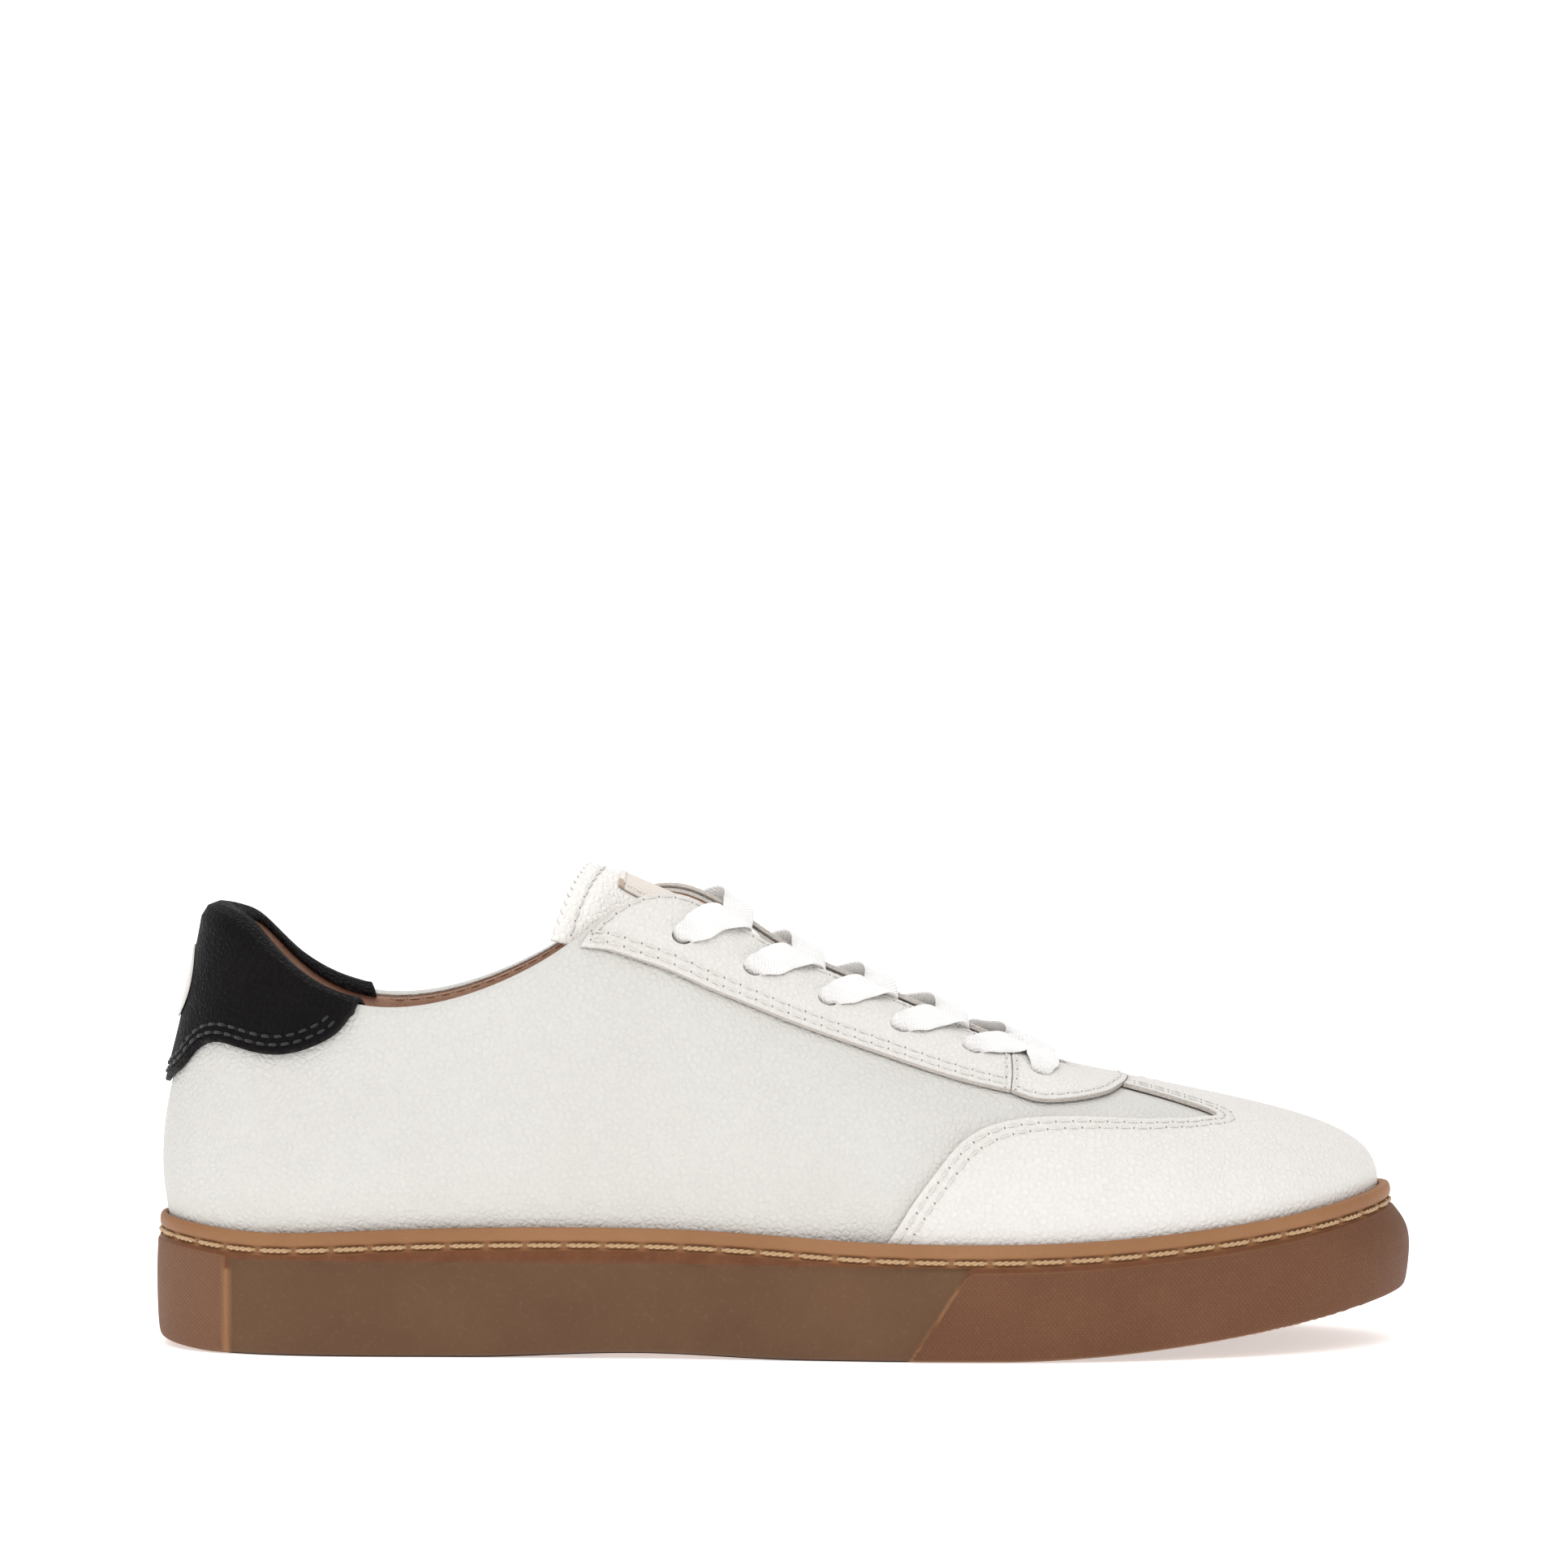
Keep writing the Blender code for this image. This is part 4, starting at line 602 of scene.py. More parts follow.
def sewRows(name, surface, rows, thread, body, depth, pitch=4.0, length=3.1, radius=.26, pits=.34,
            replaced=()):
    # a stitch per pitch along each row, with a needle hole of painted shade in every gap
    points, faces, slots = [], [], []
    count = 0
    stitch, stitchFaces = stitchShape(length, radius)
    pit, pitFaces = pitShape(pits, radius * 2.1)
    for row in rows:
        line = resample(surface, np.asarray(row, float), .35)
        at = lengthsOf(place(surface, line))
        total = at[-1]
        number = max(1, int(total / pitch))
        step = total / number
        for shape, shapeFaces, slot, shift, lift, many in (
                (stitch, stitchFaces, 0, .5, radius * .35, number),
                (pit, pitFaces, 1, 0, .05, number + 1)):
            where = np.clip((np.arange(many) + shift) * step, .02, total - .02)
            chart, ahead, back = (bySample(where + move, at, line) for move in (0, .3, -.3))
            centre = place(surface, chart, depth + lift)
            along = unitRows(place(surface, ahead) - place(surface, back))
            n = slopes(surface, *rowsOf(chart))[2]
            side = unitRows(np.cross(n, along))
            up = np.cross(along, side)
            for c, x, y, z in zip(centre, along, side, up):
                points.append(c + shape @ np.array([x, y, z]))
                faces += [tuple(i + count for i in f) for f in shapeFaces]
                slots += [slot] * len(shapeFaces)
                count += len(shape)
    return makePiece(name, np.vstack(points), faces, [thread, looks["pit"]], body, replaced, slots)


def under(u, t, depth):
    # point inside the shoe, a given depth past the lining's face
    u, t = np.atleast_1d(u), np.atleast_1d(t)
    return wall(u, t) - wallNormal(u, t) * (buildUp(u, t) + depth)[:, None]


def tongueRail(x):
    # cross-section of the tongue's outer face at one x: 13 points, spread by true length
    ridge = [x, 0.6, float(tongueLine(x)[0, 0])]
    if x < -40:
        back = (-43 - x) / 17
        half = [(8, 2.1), (15, 6.1), (19.8, 10.9), (22.6, 17), (24, 25)]
        sides = {s: [np.array([x, s * (y + back * y * .22), ridge[2] - drop * (1 - .08 * back)])
                     for y, drop in half] for s in (-1, .96)}
        sides[1] = sides.pop(.96)
    elif x < 58:
        levels = (1.0, .9, .78, .64, .5)
        sides = {s: [under(chartX(s, x, t), t, tongueClear)[0] for t in levels] for s in (-1, 1)}
    else:
        sides = {}
        for s in (-1, 1):
            spots = [locate(s, x, 2 + s * y, (0, 1)) for y in (13, 20, 27, 33)]
            sides[s] = [under(u, v / wallV, tongueClear)[0] for u, v in spots]
    line = np.array(sides[-1][::-1] + [ridge] + sides[1])
    middle = len(sides[-1])
    length = np.concatenate([[0], np.cumsum(np.linalg.norm(np.diff(line, axis=0), axis=1))])
    width = tongueWidth(x)
    return Spline(length, line)(length[middle] + np.linspace(-width, width, 13))


def tongueWidth(x):
    return 33 + 2.4 * (1 - smooth(x, -52, -42)) - 5 * smooth(x, -45, 70)


railX = [-60, -51, -43, -36, -28, -18, -4, 12, 28, 44, 56, 66, 74]
rails = Spline(railX, [tongueRail(x).ravel() for x in railX])
railSpread = Spline(np.linspace(-1, 1, 13), np.eye(13))


def tongueOut(x, q, depth=0.0):
    # point of the tongue: x along it, q from -1 (lateral edge) to 1, depth out from its face
    def face(x, q):
        return (railSpread(q)[:, :, None] * rails(x).reshape(-1, 13, 3)).sum(1)
    x, q = np.atleast_1d(x).astype(float), np.atleast_1d(q).astype(float)
    here = face(x, q)
    n = unitRows(np.cross(face(x + .5, q) - face(x - .5, q), face(x, q + .02) - face(x, q - .02)))
    return here + n * np.reshape(depth, (-1, 1))


def tongueRear(q):
    # rear edge of the tongue across its width, blunt in the middle
    return -46.6 - 9.0 * (np.sqrt(np.square(q) + .01) - .1)


def laceSpot(side, x, v, depth):
    # point over (depth above 0) or under the throat's edge panels, at one x and chart height
    u = chartX(side, x, v / wallV)
    return section(u, v, depth)[0] if depth > 0 else under(u, v / wallV, -depth)[0]


def crossing(side, row, over):
    # lace from under one hole, across the throat, over the far edge and slanting back to the next hole
    x0, x1 = eyelets[-1 - row][0], eyelets[-2 - row][0]
    v0, v1 = fromToe[side][row][1], fromToe[-side][row + 1][1]
    step, top = x1 - x0, leather + over + laceLift
    shift = step * .14 * (row == 0)      # the throat narrows beside the first holes
    marks = [x0 + shift + step * f for f in (.06, .12, .2)]
    ridge = [float(tongueLine(x)[0, 0]) for x in marks]
    return [laceSpot(side, x0 + shift + step * .02, v0 + 3.5, -laceLift),
            laceSpot(side, x0 + shift + step * .04, wallV - 2, -laceLift - .2),
            np.array([marks[0], side * 7.5 + .8, ridge[0] + .9]),
            np.array([marks[1], .8, ridge[1] + (3.0 if over else 1.2)]),
            np.array([marks[2], -side * 7.5 + .8, ridge[2] + 2.9]),
            laceSpot(-side, x1 + 11.4, wallV - .4, top - .1),
            laceSpot(-side, x1 + 7.2, v1 + (wallV - v1) * .68, top + .3),
            laceSpot(-side, x1 + 3.0, v1 + 2.6, top)]


def throughHole(side, row):
    # straight run down through a hole
    u, v = fromToe[side][row]
    above = section(u, v, leather + over + .9)[0]
    below = under(u, v / wallV, 1.3)[0]
    return [above + (below - above) * f for f in (.08, .36, .64, .92)]


def laceEnd(side):
    # tucked end: from the top hole down between lining and tongue
    x = eyelets[0][0]
    return [under(chartX(side, x + 1 + k * 4, t), t, 1.8 + .5 * (k > 1) + .5 * (k > 3) + .5 * (k > 4))[0]
            for k, t in enumerate((.80, .70, .60, .50, .40, .30))]


def lacePath():
    # middle line of the lace from end to end
    halves = []
    for start in (-1, 1):
        half, side = throughHole(start, 0), start
        for row in range(len(eyelets) - 1):
            half += crossing(side, row, (row + (start > 0)) % 2 == 0)
            side = -side
            half += throughHole(side, row + 1)
        halves.append(half + laceEnd(side))
    x = eyelets[-1][0]
    top, v = leather + over + laceLift, fromToe[-1][0][1]
    ridge = float(tongueLine(x)[0, 0])
    bar = [laceSpot(-1, x, v + 4, top), laceSpot(-1, x, wallV - 1, top + .4),
           np.array([x, 1.2, ridge + 5.6]), laceSpot(1, x, wallV - 1, top + .4),
           laceSpot(1, x, v + 4, top)]
    return np.array(halves[0][::-1] + bar + halves[1])


class Value:
    # a socket that can be written in ordinary sums
    def __init__(self, tree, socket):
        self.tree, self.socket = tree, socket

    def combine(self, kind, *others, first=None):
        node = self.tree.nodes.new("ShaderNodeMath")
        node.operation = kind
        terms = (first, self, *others) if first is not None else (self, *others)
        for slot, term in zip(node.inputs, terms):
            if isinstance(term, Value):
                self.tree.links.new(term.socket, slot)
            else:
                slot.default_value = float(term)
        return Value(self.tree, node.outputs[0])

    def __add__(self, other): return self.combine("ADD", other)
    def __radd__(self, other): return self.combine("ADD", other)
    def __sub__(self, other): return self.combine("SUBTRACT", other)
    def __rsub__(self, other): return self.combine("SUBTRACT", first=other)
    def __mul__(self, other): return self.combine("MULTIPLY", other)
    def __rmul__(self, other): return self.combine("MULTIPLY", other)
    def __truediv__(self, other): return self.combine("DIVIDE", other)
    def __abs__(self): return self.combine("ABSOLUTE")
    def sin(self): return self.combine("SINE")
    def least(self, other): return self.combine("MINIMUM", other)
    def most(self, other): return self.combine("MAXIMUM", other)
    def wave(self, period): return self.combine("PINGPONG", period)
    def ribs(self, pitch): return (self * (6.283 / pitch)).sin() * .5 + .5
    def clamp(self):
        limited = self.combine("ADD", 0)
        limited.socket.node.use_clamp = True
        return limited

    def step(self, low, high):
        return ((self - low) / (high - low)).clamp()


class Look:
    # one material: its node tree, with short ways to add and link nodes
    def __init__(self, name, **constants):
        self.material = bpy.data.materials.new(name)
        self.material.use_nodes = True
        self.tree = self.material.node_tree
        self.shader = self.tree.nodes["Principled BSDF"]
        for socket, value in constants.items():
            self.shader.inputs[socket.replace("_", " ")].default_value = value

    def node(self, kind, settings=None, out=0, **inputs):
        node = self.tree.nodes.new(kind)
        for key, value in (settings or {}).items():
            setattr(node, key, value)
        for key, value in inputs.items():
            socket = node.inputs[int(key[1:]) if key[1:].isdigit() else key.replace("_", " ")]
            if isinstance(value, Value):
                self.tree.links.new(value.socket, socket)
            else:
                socket.default_value = value
        return Value(self.tree, node.outputs[out])

    def where(self):
        return self.node("ShaderNodeTexCoord", out=3)

    def layer(self, name):
        return self.node("ShaderNodeAttribute", {"attribute_name": name}, out=2)

    def flat(self):
        uv = self.node("ShaderNodeUVMap", {"uv_map": "flat"})
        split = self.node("ShaderNodeSeparateXYZ", Vector=uv)
        return split, Value(self.tree, split.socket.node.outputs[1])

    def noise(self, scale, detail=3.0, rough=.55, at=None):
        return self.node("ShaderNodeTexNoise", Vector=at or self.where(), Scale=scale, Detail=detail,
                         Roughness=rough)

    def cells(self, scale, feature="F1", at=None, out=0):
        return self.node("ShaderNodeTexVoronoi", {"feature": feature}, out=out, Vector=at or self.where(),
                         Scale=scale)

    def mix(self, amount, a, b):
        kinds = {"data_type": "RGBA"}
        return self.node("ShaderNodeMix", kinds, out=2, _0=amount, _6=a, _7=b)

    def bump(self, height, distance, strength=1.0, normal=None):
        extra = {"Normal": normal} if normal else {}
        return self.node("ShaderNodeBump", Height=height, Distance=distance, Strength=strength, **extra)

    def send(self, **links):
        for socket, value in links.items():
            self.tree.links.new(value.socket, self.shader.inputs[socket.replace("_", " ")])
        return self.material


def rgb(r, g, b):
    # a colour as it looks on screen, in linear light
    return tuple(((c / 255 + .055) / 1.055) ** 2.4 if c > 10 else c / 3294.6 for c in (r, g, b)) + (1,)


def shaded(colour, part):
    return tuple(c * part for c in colour[:3]) + (1,)


def whiteLeather(name, tone, tint):
    look = Look(name, IOR=1.46, Specular_IOR_Level=.3)
    base, shade = rgb(*tone), rgb(*tint)
    mottled = look.noise(38, 4, .6).step(.3, .75)
    colour = look.mix(mottled * .55, base, shade)
    seam, edge = look.layer("seam"), look.layer("edge")
    # darker, warmer patches near the stitch rows
    seamDarkening = (1 - seam.step(.1, 1.4)) * look.noise(260, 3).step(.35, .7)
    colour = look.mix(seamDarkening * .22, colour, rgb(196, 184, 168))
    fibre = look.noise(1800, 3)
    raw = look.mix(fibre, rgb(176, 168, 160), rgb(212, 205, 197))
    colour = look.mix(1 - edge.step(.02, .16), colour, raw)
    pores = look.cells(1500).step(.05, .55)
    creases = look.cells(620, "DISTANCE_TO_EDGE").step(.0, .3)
    # painted shade: the grain's creases are drawn darker in colour
    colour = look.mix((1 - creases) * .1, colour, rgb(205, 199, 192))
    grain = creases * .8 + pores * .2 + look.noise(2400, 2) * .2
    fine = look.bump(grain, .00026, .85)
    waves = look.bump(look.noise(90, 3, .5), .001, .18, fine)
    rough = .47 + look.noise(150, 3) * .14 + (1 - creases) * .08
    return look.send(Base_Color=colour, Roughness=rough, Normal=waves)


def blackLeather():
    look = Look("blackLeather", IOR=1.46, Specular_IOR_Level=.1)
    mottled = look.noise(70, 4, .6).step(.3, .8)
    colour = look.mix(mottled, rgb(11, 9, 11), rgb(18, 15, 17))
    edge = look.layer("edge")
    # lighter grey in patches near the panel's edges
    edgeLightening = (1 - edge.step(.15, .9)) * look.noise(420, 3).step(.35, .65)
    colour = look.mix(edgeLightening * .35, colour, rgb(70, 66, 66))
    pebble = look.cells(700, "DISTANCE_TO_EDGE").step(0, .3)
    grain = pebble + look.noise(2600, 2) * .2
    skin = look.bump(grain, .0003, .9)
    creased = look.bump(look.noise(130, 3, .5), .0011, .4, skin)
    rough = .46 + look.noise(180, 3) * .14 + (1 - pebble) * .12
    return look.send(Base_Color=colour, Roughness=rough, Normal=creased)


def tanLining():
    look = Look("tanLining", IOR=1.4, Sheen_Weight=.25)
    mottled = look.noise(55, 4, .6).step(.3, .75)
    colour = look.mix(mottled, rgb(178, 134, 108), rgb(203, 164, 142))
    pores = look.cells(1300).step(.05, .45)
    # painted shade: the pores are drawn darker in colour
    colour = look.mix((1 - pores) * .35, colour, rgb(138, 98, 76))
    nap = look.bump(pores * .7 + look.noise(2800, 2) * .5, .0001, .7)
    return look.send(Base_Color=colour, Roughness=.68 + look.noise(300, 2) * .18, Normal=nap)


def gumRubber():
    # zones follow the moulding: lip, band under the stitch, sunk panel, knurled toe, hatched heel
    look = Look("gumRubber", IOR=1.5, Specular_IOR_Level=.2)
    along, up = look.flat()
    mid, heel, front, band = (look.layer(key) for key in ("mid", "heel", "front", "band"))
    cloud = look.noise(26, 5, .6).step(.28, .72)
    streak = look.noise(190, 4, .65).step(.35, .75)
    colour = look.mix(cloud, rgb(139, 97, 64), rgb(156, 113, 78))
    colour = look.mix(band, colour, look.mix(streak, rgb(101, 60, 36), rgb(114, 72, 45)))
    colour = look.mix(mid, colour, look.mix(cloud, rgb(94, 66, 46), rgb(107, 78, 55)))
    colour = look.mix(front, colour, look.mix(cloud, rgb(105, 68, 46), rgb(121, 82, 58)))
    colour = look.mix(heel, colour, look.mix(cloud, rgb(116, 80, 57), rgb(128, 92, 69)))
    pitch, line = 1.05, 1.0
    crossed = (along + up * .8).wave(pitch / 2).least((along - up * .8).wave(pitch / 2))
    diamond = (crossed / (pitch / 2)).step(.04, .7)
    hatch = ((along * .7 + up).wave(line / 2) / (line / 2)).step(.1, .8)
    pattern = front * diamond + heel * hatch
    # painted shade in the grooves of the knurled and hatched panels
    colour = look.mix((front * (1 - diamond) + heel * (1 - hatch)) * .2, colour, rgb(84, 52, 36))
    dust = look.noise(900, 3, .6).step(.55, .8)
    colour = look.mix(dust * .05, colour, rgb(206, 176, 150))
    # painted shade: the tread's cut grooves are darkened by their depth
    colour = look.mix(look.layer("sunk").step(.2, 1.4) * .55, colour, rgb(72, 44, 30))
    grain = look.noise(1300, 3) * .12 + look.noise(420, 3) * .1
    relief = look.bump(pattern * .3 + grain, .0006, .9)
    rough = .47 + cloud * .06 + look.noise(240, 3) * .12 + (front + heel) * .08
    return look.send(Base_Color=colour, Roughness=rough, Normal=relief)


def thread(name, tone, twist=.9):
    # plied thread: slanting ply lines from the object's own space
    look = Look(name, Sheen_Weight=.3)
    fuzz = look.noise(3200, 2)
    split = look.node("ShaderNodeSeparateXYZ", Vector=look.where())
    y = Value(look.tree, split.socket.node.outputs[1])
    z = Value(look.tree, split.socket.node.outputs[2])
    ply = ((split + z * 1.3 + y * .6) * (6283 / twist)).sin() * .5 + .5
    base = rgb(*tone)
    # painted shade between the plies, with some random fuzz
    colour = look.mix((1 - ply) * .5 + fuzz * .2, base, shaded(base, .55))
    relief = look.bump(ply * .8 + fuzz * .3, .00012, .8)
    return look.send(Base_Color=colour, Roughness=.6 + fuzz * .25, Normal=relief)


def wovenLace():
    # flat braid: slanting picks that meet in the middle, from the flat map
    look = Look("wovenLace", Sheen_Weight=.4)
    along, across = look.flat()
    picks = (along + abs(across) * .75).ribs(.95)
    ribs = across.ribs(.8)
    weave = picks * .65 + ribs * .35
    fuzz = look.noise(3600, 2)
    # painted shade in the weave's hollows, with fibre-fuzz variation
    colour = look.mix((1 - weave) * .3 + fuzz * .1, rgb(255, 254, 253), rgb(222, 219, 215))
    # painted shade in the lace's pinch at each eyelet
    pinch = look.layer("pinch")
    colour = look.mix(pinch * .3, colour, rgb(168, 160, 152))
    relief = look.bump(weave + fuzz * .35, .00022, .85)
    return look.send(Base_Color=colour, Roughness=.72 + fuzz * .2, Normal=relief)


def ribbedLabel():
    look = Look("ribbedLabel", Sheen_Weight=.2)
    along, across = look.flat()
    ribs, picks = across.ribs(1.0), along.ribs(.45)
    fuzz = look.noise(2600, 2)
    band = 1 - along.step(-37.9, -37.5)                    # plain folded end, tan at its lateral corner
    ribs = ribs.most(band)
    # painted shade between the ribs
    colour = look.mix((1 - ribs.step(.1, .5)) * .45, rgb(238, 231, 223), rgb(196, 168, 140))
    colour = look.mix(band * (1 - across.step(-6.4, -6.0)), colour, rgb(188, 168, 152))
    relief = look.bump(ribs + picks * .25 + fuzz * .25, .00018, .8)
    return look.send(Base_Color=colour, Roughness=.66 + fuzz * .2, Normal=relief)


def foamLook():
    look = Look("cellFoam")
    cells = look.cells(1400).step(.1, .6)
    # painted shade in the foam's cell hollows
    colour = look.mix(cells, rgb(196, 182, 140), rgb(228, 218, 184))
    return look.send(Base_Color=colour, Roughness=.82 + cells * .12, Normal=look.bump(cells, .0002, .7))


def boardLook():
    look = Look("fibreBoard")
    fibres = look.noise(700, 5, .7)
    colour = look.mix(fibres.step(.3, .7), rgb(176, 156, 124), rgb(206, 190, 160))
    return look.send(Base_Color=colour, Roughness=.78 + fibres * .15, Normal=look.bump(fibres, .0002, .6))


def footbedLook():
    look = Look("footbedCloth", Sheen_Weight=.3)
    twill = look.node("ShaderNodeTexWave", {"wave_type": "BANDS", "bands_direction": "DIAGONAL"},
                      Vector=look.where(), Scale=420.0, Distortion=.6, Detail=2.0)
    wear = look.noise(24, 4).step(.35, .7)
    colour = look.mix(wear * .6, rgb(196, 156, 128), rgb(166, 126, 98))
    # painted shade in the twill's troughs
    colour = look.mix((1 - twill) * .25, colour, rgb(120, 86, 64))
    relief = look.bump(twill + look.noise(2000, 2) * .4, .00015, .7)
    return look.send(Base_Color=colour, Roughness=.74 + wear * .12, Normal=relief)


def plasticLook(name, tone):
    look = Look(name, IOR=1.47)
    haze = look.noise(400, 3)
    colour = look.mix(haze, rgb(*tone), shaded(rgb(*tone), .9))
    return look.send(Base_Color=colour, Roughness=.3 + haze * .2, Normal=look.bump(haze, .00005, .5))


def pitShadeLook():
    look = Look("needlePitShade")
    # painted shade: the needle hole drawn as a dark dish, varied by noise
    pitShadeNoise = look.noise(2000, 2)
    colour = look.mix(pitShadeNoise, rgb(150, 138, 126), rgb(112, 102, 92))
    return look.send(Base_Color=colour, Roughness=.85 + pitShadeNoise * .1)


def floorLook():
    look = Look("paleFloor", Emission_Color=(1, 1, 1, 1), Emission_Strength=.5)
    haze = look.noise(3, 4)
    colour = look.mix(haze * .3, rgb(253, 253, 253), rgb(249, 249, 250))
    return look.send(Base_Color=colour, Roughness=.75 + haze * .1)


looks = {
    "white": whiteLeather("whiteLeather", (214, 212, 207), (207, 204, 199)),
    # painted light: a lighter copy of the quarter's white leather, used on the overlay panels
    "bright": whiteLeather("brightLeatherLitCopy", (228, 225, 221), (221, 217, 212)),
    # painted light: a still lighter copy of the white leather, brightening the tongue where it sits in shade
    "tongue": whiteLeather("tongueLeatherLitCopy", (248, 245, 241), (242, 239, 234)),
    "black": blackLeather(),
    "lining": tanLining(),
    "gum": gumRubber(),
    "waxed": thread("waxedThread", (205, 168, 124)),
    "whiteThread": thread("whiteThread", (236, 233, 228)),
    "blackThread": thread("blackThread", (26, 24, 25)),
    "tanThread": thread("tanThread", (196, 160, 136)),
    "lace": wovenLace(),
    "label": ribbedLabel(),
    "foam": foamLook(),
    "board": boardLook(),
    "footbed": footbedLook(),
    "badge": plasticLook("badgePlastic", (222, 218, 212)),
    "plastic": plasticLook("agletPlastic", (226, 226, 224)),
    "pit": pitShadeLook(),
}

# Seam lines on the chart, both sides.
sides = {"lateral": -1, "medial": 1}
stayEdge = {s: curve(section, sideLine(s, stayEdgeXZ)) for s in (-1, 1)}
vampEdge = {s: curve(section, sideLine(s, vampEdgeXZ)) for s in (-1, 1)}
tipPlan = [(84, -26.5)] + vampTipXY
vampTip = {-1: curve(section, [vampEdge[-1][-1], *planLine(tipPlan)[1:]]),
           1: curve(section, [vampEdge[1][-1], *planLine(otherSide(tipPlan))[1:]])}
throatPlan = [(76.1, -20), (78.7, -13.7), (80.3, -9), (81.3, -3.5)]
throatFront = planLine(throatPlan) + planLine([(81.7, 2.2)]) + planLine(otherSide(throatPlan))[::-1]
tabEdge = {s: curve(section, sideLine(s, tabEdgeXZ)) for s in (-1, 1)}
holes = {s: [locate(s, x, z) for x, z in eyelets] for s in (-1, 1)}
fromToe = {s: holes[s][::-1] for s in (-1, 1)}
holeLoops = {s: [roundHole(u, v, eyeletRadius) for u, v in holes[s]] for s in (-1, 1)}


def frontEdge(side):
    # front edge of the quarter, hidden under the vamp
    hidden = sideLine(side, [(34, 30), (40, 40), (50, 47), (64, 49), (84, 48)])
    plan = [(108, -17), (112, -11), (107, -5.5), (96, -3.2), (84, -2.6)]
    return curve(section, hidden + planLine(plan if side < 0 else otherSide(plan)), 2.0)


def quarterLoop(side):
    heel = 0.0 if side < 0 else around
    front = frontEdge(side)
    topline = ((66.3, wallV), (62, wallV), (45, wallV), (20, wallV), (-8, wallV), (-28, wallV),
               (-37, wallV), (-47, collarSeam), (-100, collarSeam))
    top = [(chartX(side, x), v) for x, v in topline]
    low = polyRun(section, [(heel, collarSeam), (heel, -lipDrop), (front[0][0], -lipDrop), front[0]])
    return join(section, low, front,
                polyRun(section, [front[-1], *top, (heel, collarSeam)]))


def stayLoop(side):
    edge = stayEdge[side]
    rear, seam = chartX(side, -47.0), chartX(side, throatSeamX)
    top = [(seam, wallV)] + [(chartX(side, x), wallV) for x in (45, 20, -8, -28, -37, -43)]
    return join(section, edge, polyRun(section, [edge[-1], *top]),
                curve(section, [top[-1], (rear, wallV - .5), edge[0]], 1.0))


def throatFrontLine():
    rim = [(57.5, 59.5), (65.2, 58.8), (71.1, 59.2)]
    return curve(section, [stayEdge[-1][-1], *sideLine(-1, rim), *throatFront, *sideLine(1, rim)[::-1],
                           stayEdge[1][-1]])


def throatLoop():
    seams = [chartX(s, throatSeamX) for s in (-1, 1)]
    return join(section, throatFrontLine(),
                polyRun(section, [stayEdge[1][-1], (seams[1], wallV), (seams[0], wallV),
                                  stayEdge[-1][-1]]))


def vampLoop():
    left, right = vampEdge[-1], vampEdge[1]
    line = throatFrontLine()
    # the part of the throat's edge it meets
    back = line[abs(place(section, line)[:, 1] - 2.2) < 11.2]
    low = polyRun(section, [right[0], (right[0][0], -lipDrop), (left[0][0], -lipDrop), left[0]])
    return join(section, left, vampTip[-1], straightRun(section, vampTip[-1][-1], back[0]), back,
                straightRun(section, back[-1], vampTip[1][-1]), vampTip[1][::-1], right[::-1], low)


def tabLoop():
    # heel tab, over the collar's top edge and a little way down inside
    left, right = tabEdge[-1], heelward(tabEdge[1])
    stops = ((-100.6, wallV), (-99.4, collarV), (-98.6, innerTop - 1))
    ends = [(chartX(-1, x), v) for x, v in stops]
    mirror = [(chartX(1, x) - around, v) for x, v in stops[::-1]]
    over_ = polyRun(section, [left[-1], *ends, *mirror, right[-1]])
    bottom = curve(section, [right[0], (0.0, tabLow), left[0]])
    return join(section, left, over_, right[::-1], bottom)


def liningLoop(rear):
    # lining of the quarters (rear) or of the vamp, split under the eyestays
    split = [chartX(-1, 18.4), chartX(1, 18.4)]
    if not rear:
        ring = [(split[0], innerTop), (split[1], innerTop), (split[1], innerFloor),
                (split[0], innerFloor)]
        return join(section, polyRun(section, ring + ring[:1], 2.2))
    stops = ((-28, innerTop), (-37, innerTop), (-42, innerTop), (-49, collarSeam))
    top = [(chartX(-1, x), v) for x, v in stops]
    mirror = [(chartX(1, x) - around, v) for x, v in stops[::-1]]
    left, right = split[0], split[1] - around
    ring = [(left, innerTop), *top, *mirror, (right, innerTop), (right, innerFloor), (left, innerFloor)]
    return join(section, polyRun(section, ring + ring[:1], 2.0))


# Cup: one moulding with a lip, a stitch groove, raised and sunk side panels and a cut tread.
cupSettings = {"around": 900, "wallRings": 40, "sunk": .75, "grooveDepth": .75,
               "treadStep": 1.15, "treadDepth": 1.5, "treadPitch": 5.2}


